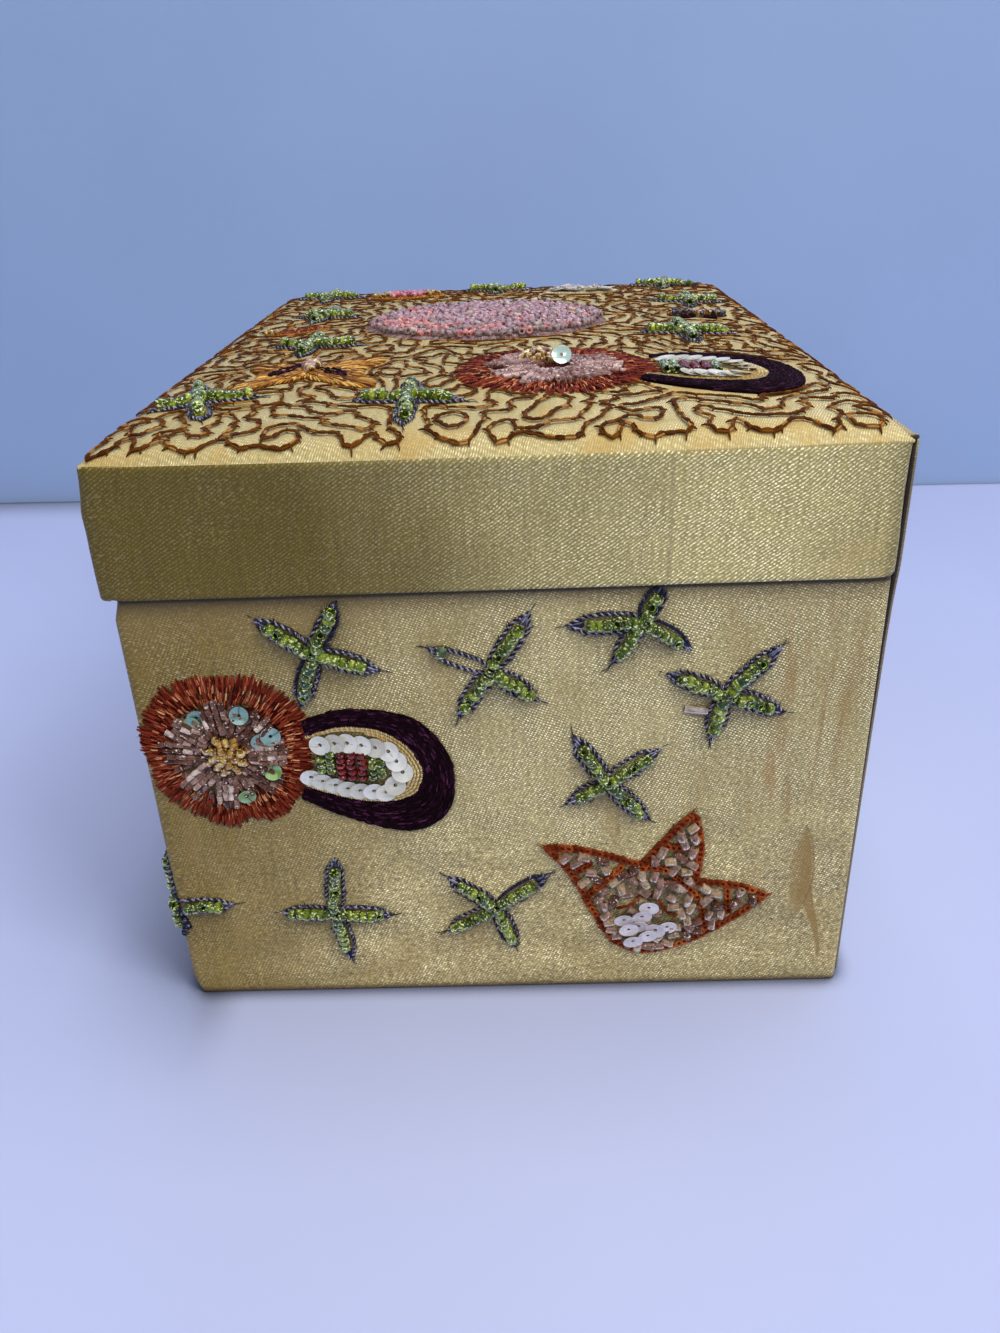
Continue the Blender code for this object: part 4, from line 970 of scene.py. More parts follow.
# painted shadow: ambient occlusion darkens the floor near the box's left side, and a thin painted contact shadow runs
# round the foot
near = k.node("AmbientOcclusion", samples=8)
near.inputs["Distance"].default_value = 0.034
foot = k.node("AmbientOcclusion", samples=6)
foot.inputs["Distance"].default_value = 0.0045
left_ = k.rng(k.dot(o, (1.0, 0.0, 0.0)), -62.0, -74.0)
painted_shadow_left = k.math("MULTIPLY", left_, k.math("SUBTRACT", 1.0, k.rng(near.outputs["AO"], 0.48, 0.97, 0.34, 1.0, False)))
line = k.rng(foot.outputs["AO"], 0.5, 0.92, 0.22, 1.0, False)
# painted light: the floor a little brighter to the left and darker to the right, with a faint random mottle
painted_light_and_mottle = k.math("MULTIPLY", k.rng(f, 0.3, 0.7, 0.975, 1.025, False), k.rng(k.dot(o, (1.0, 0.0, 0.0)), -260.0, 200.0, 1.055, 0.955))
k.color(k.shade((0.485, 0.535, 0.80), k.math("MULTIPLY", painted_light_and_mottle, k.math("MULTIPLY", line, k.math("SUBTRACT", 1.0, painted_shadow_left))))).rough(0.55)
M_floor = k.m
M_wall = plain_mat("wall_paint", (0.308, 0.43, 0.68), 0.7)
floor = quad("floor", [(-2600, -2600, 0), (2600, -2600, 0), (2600, 2600, 0), (-2600, 2600, 0)], M_floor)
wall = quad("backdrop", [(-1800, 357.0, 0), (1800, 210.0, 0), (1800, 210.0, 1100), (-1800, 357.0, 1100)], M_wall)


def area(name, loc, target, size, watts, colr=(1, 1, 1)):
    d = bpy.data.lights.new(name, "AREA")
    d.shape = "RECTANGLE"
    d.size, d.size_y = size
    d.energy = watts
    d.color = colr
    ob = bpy.data.objects.new(name, d)
    ob.location = Vector(loc)
    ob.rotation_mode = "QUATERNION"
    ob.rotation_quaternion = (Vector(target) - Vector(loc)).to_track_quat("-Z", "Y")
    bpy.context.scene.collection.objects.link(ob)
    return ob


area("overhead", (0.30, 0.0, 1.5), (0, 0, 0.05), (1.3, 1.1), 15.4, (1.0, 0.985, 0.95))
area("key_right", (0.85, -0.75, 1.15), (0.02, 0, 0.08), (0.6, 0.5), 9.6, (1.0, 0.985, 0.95))
area("front_fill", (-0.2, -1.5, 0.6), (0, 0, 0.06), (1.0, 0.6), 3.8, (1.0, 0.98, 0.95))
area("glint", (-0.15, -1.0, 1.35), (0, -0.05, 0.1), (0.12, 0.12), 2.3, (1.0, 0.99, 0.96))

w = bpy.data.worlds.new("soft_room")
w.use_nodes = True
w.node_tree.nodes["Background"].inputs[0].default_value = (0.86, 0.89, 1.0, 1.0)
w.node_tree.nodes["Background"].inputs[1].default_value = 0.22
bpy.context.scene.world = w
bpy.context.scene.view_settings.view_transform = "Standard"

F_PX, PITCH, YAW, ROLL = 1044.5434, radians(26.913), radians(-1.5025), radians(-2.3266)
cam_at = Vector((4.9121, -288.2408, 180.1573)) * MM
fwd = Vector((sin(YAW) * cos(PITCH), cos(YAW) * cos(PITCH), -sin(PITCH)))
right = Vector((cos(YAW), -sin(YAW), 0))
up = right.cross(fwd)
rr = right * cos(ROLL) + up * sin(ROLL)
uu = -right * sin(ROLL) + up * cos(ROLL)
cd = bpy.data.cameras.new("camera")
cd.lens = 36.0 * F_PX / 1333.0
cd.sensor_width = 36.0
cd.clip_start = 0.01
cam = bpy.data.objects.new("camera", cd)
cam.matrix_world = Matrix(((rr.x, uu.x, -fwd.x, cam_at.x), (rr.y, uu.y, -fwd.y, cam_at.y), (rr.z, uu.z, -fwd.z, cam_at.z), (0, 0, 0, 1)))
bpy.context.scene.collection.objects.link(cam)
bpy.context.scene.camera = cam

# ------------------------------------------------------------------ where the motifs lie
FRONT_STARS = (
    (-37.2, 89.3, ((13.9, 146), (13.1, 63), (14.2, -18), (13.0, -112))),
    (-1.9, 84.6, ((14.0, 159), (15.4, 61), (12.5, -35), (13.3, -121))),
    (28.4, 94.4, ((15.3, 180), (9.2, 66), (12.3, -35), (11.6, -122))),
    (45.3, 77.6, ((13.6, 154), (15.4, 43), (13.8, -16), (11.6, -103))),
    (21.8, 57.0, ((14.2, 120), (13.9, 38), (14.0, -48), (10.8, -150))),
    (-39.7, 23.6, ((16.0, 85), (13.5, -5), (14.8, -81), (12.9, 179))),
    (-2.9, 24.4, ((14.3, 139), (15.0, 35), (13.4, -75), (14.0, -149))))
LID_STARS = ((-61.5, -70.0, ((10.5, -146), (16.5, 101), (13.4, 6), (17.0, -72))),
             (-16.8, -77.0, ((11.8, 178), (15.5, 93), (12.4, -15), (18.0, -86))),
             (-46.4, -15.0, ((11.8, 166), (14.6, 87), (13.0, -12), (13.6, -96))),
             (-51.0, 36.0, ((11.0, 158), (12.0, 74), (11.8, -20), (11.6, -104))),
             (-57.0, 84.0, ((11.8, 170), (11.4, 84), (12.2, -8), (11.6, -96))),
             (-1.0, 86.0, ((11.6, 174), (10.6, 92), (12.0, 4), (11.4, -90))),
             (56.0, 88.0, ((12.0, 176), (9.8, 78), (11.6, -6), (11.2, -100))),
             (57.0, 43.0, ((11.8, 168), (12.4, 88), (11.8, 2), (12.0, -92))),
             (48.0, -13.5, ((11.6, 174), (14.4, 95), (12.6, -2), (13.6, -84))))
LEFT_STARS = ((52.0, 78.0, ((12.4, 150), (11.8, 58), (12.0, -28), (11.4, -118))),
              (-40.0, 84.0, ((12.0, 162), (12.6, 70), (12.2, -20), (11.8, -106))),
              (34.0, 30.0, ((12.2, 140), (12.8, 48), (11.8, -40), (12.0, -130))))
BACK_STARS = ((-46.0, 82.0, ((12.2, 146), (12.4, 60), (12.0, -24), (11.6, -114))),
              (46.0, 74.0, ((12.0, 156), (12.8, 66), (11.8, -30), (12.0, -120))),
              (-30.0, 26.0, ((12.6, 138), (12.0, 44), (12.4, -46), (11.6, -140))))


def ring(cu, cv, a, b, tilt=0.0, n=120, waves=0, amp=0.0, phase=0.0):
    t = np.arange(n) * TAU / n
    s = 1 + amp * np.cos(waves * t + phase)
    x, y, c, d = a * s * np.cos(t), b * s * np.sin(t), cos(radians(tilt)), sin(radians(tilt))
    return np.stack([cu + x * c - y * d, cv + x * d + y * c], -1)


# ------------------------------------------------------------------ cloth on the base
def pull(u, v, tips, rings_):
    """How far the stitching draws the cloth in or puffs it out, in millimetres."""
    d = np.zeros_like(u)
    for (tu, tv, deg) in tips:
        a = radians(deg)
        x = (u - tu) * cos(a) + (v - tv) * sin(a)
        y = -(u - tu) * sin(a) + (v - tv) * cos(a)
        g = np.where(x > -1.0, np.exp(-np.maximum(x, 0) / 5.5), 0.0)
        d += 0.13 * g * np.exp(-(y / 3.0) ** 2) * np.cos(TAU * y / 3.4)
    for (cu, cv, r) in rings_:
        q = np.hypot(u - cu, v - cv) / r
        d += -0.12 * np.exp(-((q - 1.0) / 0.10) ** 2) + 0.10 * np.exp(-((q - 1.3) / 0.16) ** 2)
    return d


def star_tips(stars):
    return [(u + ln * cos(radians(dg)), v + ln * sin(radians(dg)), dg) for u, v, arms in stars for ln, dg in arms]


def smooth_noise(x, y, lam, seed_):
    """A slow random field by summed waves."""
    g = np.random.default_rng(seed_)
    out = np.zeros_like(x)
    for _ in range(9):
        a = g.random() * TAU
        k_ = TAU / (lam * (0.7 + 0.7 * g.random()))
        out += np.cos(k_ * (x * cos(a) + y * sin(a)) + g.random() * TAU)
    return out / 3.0


def base_cloth():
    path = []                                        # x at z 0, y, normal, share of the lean, st u
    y0 = BASE_HY - CORNER
    for y in np.arange(y0, -y0 - 0.01, -2 * y0 / 40):
        path.append((BASE_XR0, y, 1.0, 0.0, 1.0, BASE_XR0 + y + BASE_HY))

    def arc(cx, cy, a0, a1, lean, u0, sgn):
        for t in np.linspace(0, 1, 6)[1:-1]:
            a = radians(a0 + (a1 - a0) * t)
            path.append((cx + CORNER * cos(a), cy + CORNER * sin(a), cos(a), sin(a), lean, u0 - sgn * t * 1.9))

    arc(BASE_XR0 - CORNER, -y0, 0, -90, 1.0, BASE_XR0 + 1.2, 1)
    span = BASE_XR0 + BASE_HX - 2 * CORNER
    for x in np.linspace(BASE_XR0 - CORNER, -BASE_HX + CORNER, 121):
        path.append((x, -BASE_HY, 0.0, -1.0, (x + BASE_HX - CORNER) / span, x))
    arc(-BASE_HX + CORNER, -y0, -90, -180, 0.0, -BASE_HX + CORNER, 1)
    for y in np.linspace(-y0, y0, 121):
        path.append((-BASE_HX, y, -1.0, 0.0, 0.0, -BASE_HX - (y + BASE_HY)))
    arc(-BASE_HX + CORNER, y0, 180, 90, 0.0, -BASE_HX - 2 * BASE_HY + CORNER, 1)
    for x in np.linspace(-BASE_HX + CORNER, BASE_XR0 - CORNER, 91):
        path.append((x, BASE_HY, 0.0, 1.0, (x + BASE_HX - CORNER) / span, -BASE_HX - 2 * BASE_HY - (x + BASE_HX)))
    arc(BASE_XR0 - CORNER, y0, 90, 0, 1.0, -3 * BASE_HX - 2 * BASE_HY, 1)
    path.append((BASE_XR0, y0, 1.0, 0.0, 1.0, -3 * BASE_HX - 2 * BASE_HY - 1.9))
    P = np.array(path)
    prof = [(-0.5, 0.34), (-0.15, 0.32), (0.0, 0.6)] + [(0.0, z) for z in np.linspace(1.6, 124.2, 97)] + \
           [(-0.04, 124.8), (-0.25, 125.18), (-0.8, 125.3), (-1.6, 125.28), (-2.6, 125.24)]
    off = np.array([p[0] for p in prof])[:, None]
    z = np.array([p[1] for p in prof])[:, None]
    x0, y_, nx, ny, ln, uu_ = [c[None, :] for c in P.T]
    X = x0 + ln * LEAN * z / RIM_Z + nx * off + np.minimum(nx, 0.0) * loose(z)
    Y = y_ + ny * off + 0 * z
    Z = z + 0 * x0
    # the drawn-in and puffed cloth
    d = np.zeros_like(X)
    body = (off > -0.01) & (z > 1) & (z < 124)
    edge = np.clip(np.minimum((z - 1.0) / 6, (124.0 - z) / 6), 0, 1)
    fr = ny < -0.99
    tips = star_tips(FRONT_STARS) + [(-62.2, 26.5, 0)]
    df = pull(X, Z, tips, [(-57.6, 66.6, 17.4)]) + 0.10 * smooth_noise(X, Z, 34, 3) + 0.05 * smooth_noise(X * 1.0, Z * 2.4, 18, 4)
    d = np.where(fr & body, df * np.clip((BASE_HX - np.abs(X)) / 3, 0, 1), d)
    lf = nx < -0.99
    dl = pull(-Y, Z, star_tips(LEFT_STARS), []) + 0.12 * smooth_noise(Y, Z, 34, 5)
    d = np.where(lf & body, dl * np.clip((100 - np.abs(Y)) / 4, 0, 1), d)
    bk = ny > 0.99
    db = pull(-X, Z, star_tips(BACK_STARS), [(18, 42, 16.6)]) + 0.12 * smooth_noise(X, Z, 34, 6)
    d = np.where(bk & body, db * np.clip((BASE_HX - np.abs(X)) / 4, 0, 1), d) * edge
    X, Y = X + nx * d, Y + ny * d
    b = Buf()
    F = grid_faces(len(prof), len(P))
    b.add(np.stack([X, Y, Z], -1).reshape(-1, 3), F)
    st = np.stack([uu_ + 0 * z, Z, 0 * X], -1).reshape(-1, 3)
    ob = make("base_satin", b, [M_base], st=st)
    return ob


ob = base_cloth()
solidify(ob, 0.3, -1.0)
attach(ob, "base")
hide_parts("base_cover")


# ------------------------------------------------------------------ the lid's skirt band
def skirt_band():
    r, e = 1.2, 1.5
    path = []
    for t in np.linspace(0, 1, 7)[:-1]:              # the front length turns in at the hinge side
        a = radians(-90 * t)
        path.append((LID_HX - 0.1 - e + e * cos(a), -LID_HY + e + e * sin(a), cos(a), sin(a), LID_HX - 0.1 - e + 2.3 * (1 - t)))
    for x in np.linspace(LID_HX - 0.1 - e, -LID_HX + r, 122):
        path.append((x, -LID_HY, 0.0, -1.0, x))
    for t in np.linspace(0, 1, 7)[1:-1]:
        a = radians(-90 - 90 * t)
        path.append((-LID_HX + r + r * cos(a), -LID_HY + r + r * sin(a), cos(a), sin(a), -LID_HX + r - 2.5 * t))
    for y in np.linspace(-LID_HY + r, LID_HY - r, 130):
        path.append((-LID_HX, y, -1.0, 0.0, -LID_HX - 0.9 - (y + LID_HY)))
    for t in np.linspace(0, 1, 7)[1:-1]:
        a = radians(180 - 90 * t)
        path.append((-LID_HX + r + r * cos(a), LID_HY - r + r * sin(a), cos(a), sin(a), -LID_HX - 205 - 2.5 * t))
    for x in np.linspace(-LID_HX + r, LID_HX - 0.1, 92):
        path.append((x, LID_HY, 0.0, 1.0, -LID_HX - 208 - (x + LID_HX)))
    P = np.array(path)
    zs = np.linspace(103.4, 127.6, 21)
    prof = [(-0.95, 104.6), (-0.95, 103.0), (-0.75, 102.62), (-0.4, 102.5), (-0.12, 102.66), (0.0, 103.0)] + [(0.0, z) for z in zs] + \
           [(-0.02, 128.2), (-0.14, 128.62), (-0.45, 128.85), (-1.2, 128.9)]
    off = np.array([p[0] for p in prof])[:, None]
    z = np.array([p[1] for p in prof])[:, None]
    x0, y_, nx, ny, uu_ = [c[None, :] for c in P.T]
    mid = np.sin(np.clip((z - 102.5) / 26.5, 0, 1) * pi)
    fr = (ny < -0.99) | ((x0 > 70) & (ny < 0.5))
    bowx = np.clip(1 - (x0 / LID_HX) ** 2, 0, 1)
    d = 0.16 * mid * smooth_noise(uu_ + 0 * z, z, 46, 11) + 0.06 * mid * smooth_noise(uu_ + 0 * z, z * 2, 15, 12)
    step = 0.28 / (1 + np.exp(-(33.0 - x0) / 0.12)) * fr       # the left length laps over the right at the join
    d = d + step * np.clip((z - 102.4) * 4, 0, 1) * np.clip((129.2 - z) * 4, 0, 1)
    d = d + 0.35 * bowx * fr * np.clip((z - 122) / 6, 0, 1)
    keep = np.where(off > -0.6, 1.0, 0.0)
    d = d * keep
    X, Y = x0 + nx * (off + d) + np.minimum(nx, 0.0) * 0.95 * np.clip((127.2 - z) / 7, 0, 1) * keep, y_ + ny * (off + d)
    droop = -0.35 * bowx * fr * np.clip((z - 120) / 8, 0, 1)
    cornerlift = 0.9 * np.exp(-((LID_HX - np.abs(x0)) / 1.4)) * fr * np.clip((104.5 - z) / 2, 0, 1)
    Z = z + droop + cornerlift + 0 * x0
    b = Buf()
    b.add(np.stack([X, Y, Z], -1).reshape(-1, 3), grid_faces(len(prof), len(P)))
    return make("lid_band_satin", b, [M_band], st=np.stack([uu_ + 0 * z, Z, 0 * X], -1).reshape(-1, 3))


ob = skirt_band()
solidify(ob, 0.25, -1.0)
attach(ob, "lid")
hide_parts("lid_skirt_band")

# ------------------------------------------------------------------ vermicelli on the lid: a meander that keeps clear of the motifs
LFC = (13.4, -54.2)
LFLOWER = ring(LFC[0], LFC[1], 20.8, 20.4, -8, 120, 5, 0.04, 0.3)


def keep_off(p, c, r):
    p = np.array(p, float)
    d = np.linalg.norm(p - c, axis=1, keepdims=True)
    return np.where(d < r, c + (p - c) * r / np.maximum(d, 1e-6), p)


LPAISLEY = keep_off(ring(49.2, -60.6, 17.8, 18.9, -20), np.array(LFC), 20.9)
OVAL = ring(-3.0, 12.5, 32.2, 29.2, -10, 140, 9, 0.02, 0.0)
BF_C = np.array((-41.8, -49.0))
BFLY = np.array(((-0.8, 6.0), (-7.2, 12.0), (-13.5, 13.7), (-15.4, 9.7), (-12.4, 2.8), (-11.0, -0.6), (-12.4, -3.8), (-15.4, -10.0),
                 (-13.8, -14.6), (-7.0, -9.6), (-0.6, -4.4), (6.6, -10.2), (15.4, -16.2), (16.6, -12.0), (13.4, -5.0), (11.8, -1.0),
                 (13.0, 3.2), (16.4, 10.4), (14.2, 14.6), (7.4, 11.8), (1.2, 6.0)))
BFLY_P = spline(BFLY + BF_C, True, 0.8)
LEAF = ring(-55.0, 12.5, 8.0, 3.2, 14)
CLUSTER = ring(-30.5, 79.0, 12.5, 6.5, -6)
SPRAY = ring(27.0, 74.0, 12.0, 7.0, 8)
SPRIG = ring(55.5, 15.0, 9.5, 5.5, -8)


def inside(px, py, poly):
    c = np.zeros(px.shape, bool)
    n = len(poly)
    for i in range(n):
        (x0, y0), (x1, y1) = poly[i], poly[(i + 1) % n]
        if y0 == y1:
            continue
        hit = ((y0 > py) != (y1 > py)) & (px < (x1 - x0) * (py - y0) / (y1 - y0) + x0)
        c ^= hit
    return c


def vermicelli():
    dx = 0.75
    xs = np.arange(-77, 77.01, dx)
    ys = np.arange(-104, 104.01, dx)
    X, Y = np.meshgrid(xs, ys)
    g = np.random.default_rng(41)
    n = 320
    f = g.normal(size=(n, n))
    kf = np.fft.fftfreq(n, dx)
    kx, ky = kf[None, :], kf[:, None]
    wav = 0.5 * np.sin(X * 0.9 + 1.0 * np.sin(X * 0.23))
    wav_y = 0.5 * np.sin(Y * 0.9 + 1.0 * np.sin(Y * 0.23))
    wall_ = np.minimum.reduce([(X + 74.4 + wav_y), (75.2 + wav_y - X), (Y + 101.2 + wav), (101.4 + wav - Y)])
    for poly in [LFLOWER, LPAISLEY, OVAL, BFLY_P, LEAF, CLUSTER, SPRAY, SPRIG]:
        q = resample(poly, 1.0, True)
        dd = np.full(X.shape, 99.0)
        lo, hi = q.min(0) - 8, q.max(0) + 8
        box_ = (X > lo[0]) & (X < hi[0]) & (Y > lo[1]) & (Y < hi[1])
        pts = np.stack([X[box_], Y[box_]], -1)
        d = np.sqrt(((pts[:, None, :] - q[None]) ** 2).sum(-1)).min(1)
        d = np.where(inside(pts[:, 0], pts[:, 1], q), -d, d)
        dd[box_] = d
        wall_ = np.minimum(wall_, dd - 0.6)
    for u, v, arms in LID_STARS:
        for ln, dg in arms:
            a = radians(dg)
            t = np.clip((X - u) * cos(a) + (Y - v) * sin(a), 0, ln + 1)
            d = np.hypot(X - u - t * cos(a), Y - v - t * sin(a))
            wall_ = np.minimum(wall_, d - 2.2)
    shut = np.zeros((n, n))
    shut[:X.shape[0], :X.shape[1]] = np.clip((1.3 - wall_) / 0.9, 0, 1)
    # filtered noise, squared off and filtered again until its stripes settle into a meander of even spacing
    band = np.exp(-((np.hypot(ky * 11.4, kx * 9.8) - 1) / 0.26) ** 2) + 0.9 * np.exp(-((np.hypot(ky * 1.1, kx) * 6.6 - 1) / 0.3) ** 2)
    for _ in range(4):
        f = np.fft.ifft2(np.fft.fft2(f) * band).real
        f = np.tanh(1.3 * f / f.std())
        f = f * (1 - shut) - 1.1 * shut
    f = np.fft.ifft2(np.fft.fft2(f) * np.exp(-(np.hypot(ky, kx) * 2.6) ** 2)).real[:X.shape[0], :X.shape[1]]
    f2 = g.normal(size=(n, n))
    f2 = np.fft.ifft2(np.fft.fft2(f2) * np.exp(-((np.hypot(ky, kx) * 5.8 - 1) / 0.3) ** 2)).real
    f = f + 0.42 * (f2 / f2.std())[:X.shape[0], :X.shape[1]]
    rim_y = 2.0 * np.exp(-((Y + 99.4) / 3.8) ** 2) * (0.25 + np.sin(TAU * (X + 1.6 * np.sin(X * 0.29)) / 9.6))
    rim_x = 1.5 * np.exp(-((np.abs(X) - 74.0) / 3.4) ** 2) * np.sin(TAU * (Y + 1.4 * np.sin(Y * 0.29)) / 9.4)
    f = f + rim_y + rim_x - 3.0 * np.clip((0.9 - wall_) / 1.5, 0, 3)
    # zero line of the field, cell by cell
    ny_, nx_ = f.shape
    pts = {}
    seg = []

    def cross(i0, j0, i1, j1):
        kk = (i0, j0, i1, j1)
        if kk not in pts:
            a, b = f[i0, j0], f[i1, j1]
            t = a / (a - b)
            pts[kk] = (xs[j0] + (xs[j1] - xs[j0]) * t, ys[i0] + (ys[i1] - ys[i0]) * t)
        return kk

    pos = f > 0
    cells = np.argwhere(~((pos[:-1, :-1] == pos[1:, :-1]) & (pos[:-1, :-1] == pos[:-1, 1:]) & (pos[:-1, :-1] == pos[1:, 1:])))
    for i, j in cells:
        e = []
        if pos[i, j] != pos[i, j + 1]:
            e.append(cross(i, j, i, j + 1))
        if pos[i, j + 1] != pos[i + 1, j + 1]:
            e.append(cross(i, j + 1, i + 1, j + 1))
        if pos[i + 1, j] != pos[i + 1, j + 1]:
            e.append(cross(i + 1, j, i + 1, j + 1))
        if pos[i, j] != pos[i + 1, j]:
            e.append(cross(i, j, i + 1, j))
        if len(e) == 2:
            seg.append((e[0], e[1]))
        elif len(e) == 4:
            seg += [(e[0], e[1]), (e[2], e[3])]
    near = {}
    for a, b in seg:
        near.setdefault(a, []).append(b)
        near.setdefault(b, []).append(a)
    used, lines_ = set(), []
    starts = sorted([k_ for k_ in near if len(near[k_]) == 1]) + sorted(near)
    for s in starts:
        if s in used:
            continue
        line, cur = [s], s
        used.add(s)
        while True:
            nx2 = [q for q in near[cur] if q not in used]
            if not nx2:
                break
            cur = nx2[0]
            used.add(cur)
            line.append(cur)
        if len(line) > 16:
            p = np.array([pts[q] for q in line])
            if s in near[line[-1]]:
                p = np.vstack([p, p[:1]])
            q = resample(p, 0.8)
            sm = q.copy()
            sm[1:-1] = (q[:-2] + 2 * q[1:-1] + q[2:]) / 4
            lines_.append(sm)
    return lines_


VERM = vermicelli()
VPTS = np.vstack(VERM)
print("vermicelli lines", len(VERM), "length", sum(np.linalg.norm(np.diff(l, axis=0), axis=1).sum() for l in VERM))
kd = kdtree.KDTree(len(VPTS))
for i, p in enumerate(VPTS):
    kd.insert((p[0], p[1], 0.0), i)
kd.balance()


# ------------------------------------------------------------------ the lid's top satin
def top_cloth():
    def ticks_(h, n, dense):
        e = np.array([0, 0.25, 0.55, 0.95, 1.5, 2.2, 3.0, 4.0])
        mid = np.linspace(-h + 5.0, h - 5.0, n)
        return np.r_[-h + e, mid, (h - e)[::-1]]
    xs = ticks_(LID_HX, 150, True)
    ys = ticks_(LID_HY, 200, True)
    X, Y = np.meshgrid(xs, ys)
    r_ = 1.3
    dx, dy = -X - (LID_HX - r_), np.abs(Y) - (LID_HY - r_)
    turn = (dx > 0) & (dy > 0)
    f_ = np.where(turn, np.maximum(dx, dy) / np.maximum(np.hypot(dx, dy), 1e-9), 1.0)
    X = np.where(turn, -(LID_HX - r_) - dx * f_, X)
    Y = np.where(turn, np.sign(Y) * (LID_HY - r_ + dy * f_), Y)
    puff = np.zeros(X.shape)
    for (i, j), _ in np.ndenumerate(X):
        if abs(X[i, j]) < 75.5 and abs(Y[i, j]) < 101.5:
            d = kd.find((X[i, j], Y[i, j], 0.0))[2]
            puff[i, j] = min(d / 2.1, 1.0)
    puff = puff * puff * (3 - 2 * puff)
    edge = np.clip(np.minimum(LID_HX - np.abs(X), LID_HY - np.abs(Y)) / 5.0, 0, 1)
    H = (0.46 * puff - 0.34) * edge + 0.06 * smooth_noise(X, Y, 30, 21) * edge
    W = on_top(X, Y, H)
    # the front, left and back edges roll down over the corner of the board
    W = np.array(W)
    b = Buf()
    ni, nj = X.shape
    b.add(W.reshape(-1, 3), grid_faces(ni, nj))
    st = [np.stack([X, Y, 0 * X], -1).reshape(-1, 3)]
    # turned-down lip on three sides: a ring of quads hanging from the rim
    rim = [(0, j) for j in range(nj - 1, -1, -1)] + [(i, 0) for i in range(1, ni)] + [(ni - 1, j) for j in range(1, nj)]
    P = np.array([W[i, j] for i, j in rim])
    N = np.array([(0 if i in (0, ni - 1) and 0 < j else -1.0, -1.0 if i == 0 else (1.0 if i == ni - 1 else 0.0)) for i, j in rim])
    N = N / np.maximum(np.linalg.norm(N, axis=1, keepdims=True), 1e-9)
    bowx = np.where(np.array([i == 0 for i, j in rim]), np.clip(1 - (P[:, 0] / LID_HX) ** 2, 0, 1), 0.0)
    low = []
    for o_, dz in ((0.10, -0.06), (0.16, -0.22), (0.13, -0.42), (0.02, -0.55)):
        q = P.copy()
        q[:, 0] += N[:, 0] * (o_ + 0.34 * bowx * (N[:, 1] < 0))
        q[:, 1] += N[:, 1] * (o_ + 0.34 * bowx)
        q[:, 2] += dz - 0.30 * bowx
        low.append(q)
    n = len(rim)
    off = b.n
    allq = np.concatenate(low)
    F = grid_faces(len(low), n)
    b.add(allq, F)
    idx = np.array([i * nj + j for i, j in rim])
    j_ = np.arange(n - 1)
    b.F4.append(np.stack([idx[j_], idx[j_ + 1], off + j_ + 1, off + j_], -1))
    b.M4.append(np.zeros(n - 1, int))
    for q in low:
        st.append(np.stack([q[:, 0], q[:, 1], 0 * q[:, 0]], -1))
    ob = make("lid_top_satin", b, [M_top], st=np.concatenate(st))
    return ob


ob = top_cloth()
solidify(ob, 0.3, -1.0)
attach(ob, "lid")
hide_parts("lid_top_cover")

b = Buf()
for l in VERM:
    backstitch(b, on_top, l)
ob = make("lid_vermicelli", b, [M_brown])
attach(ob, "lid")


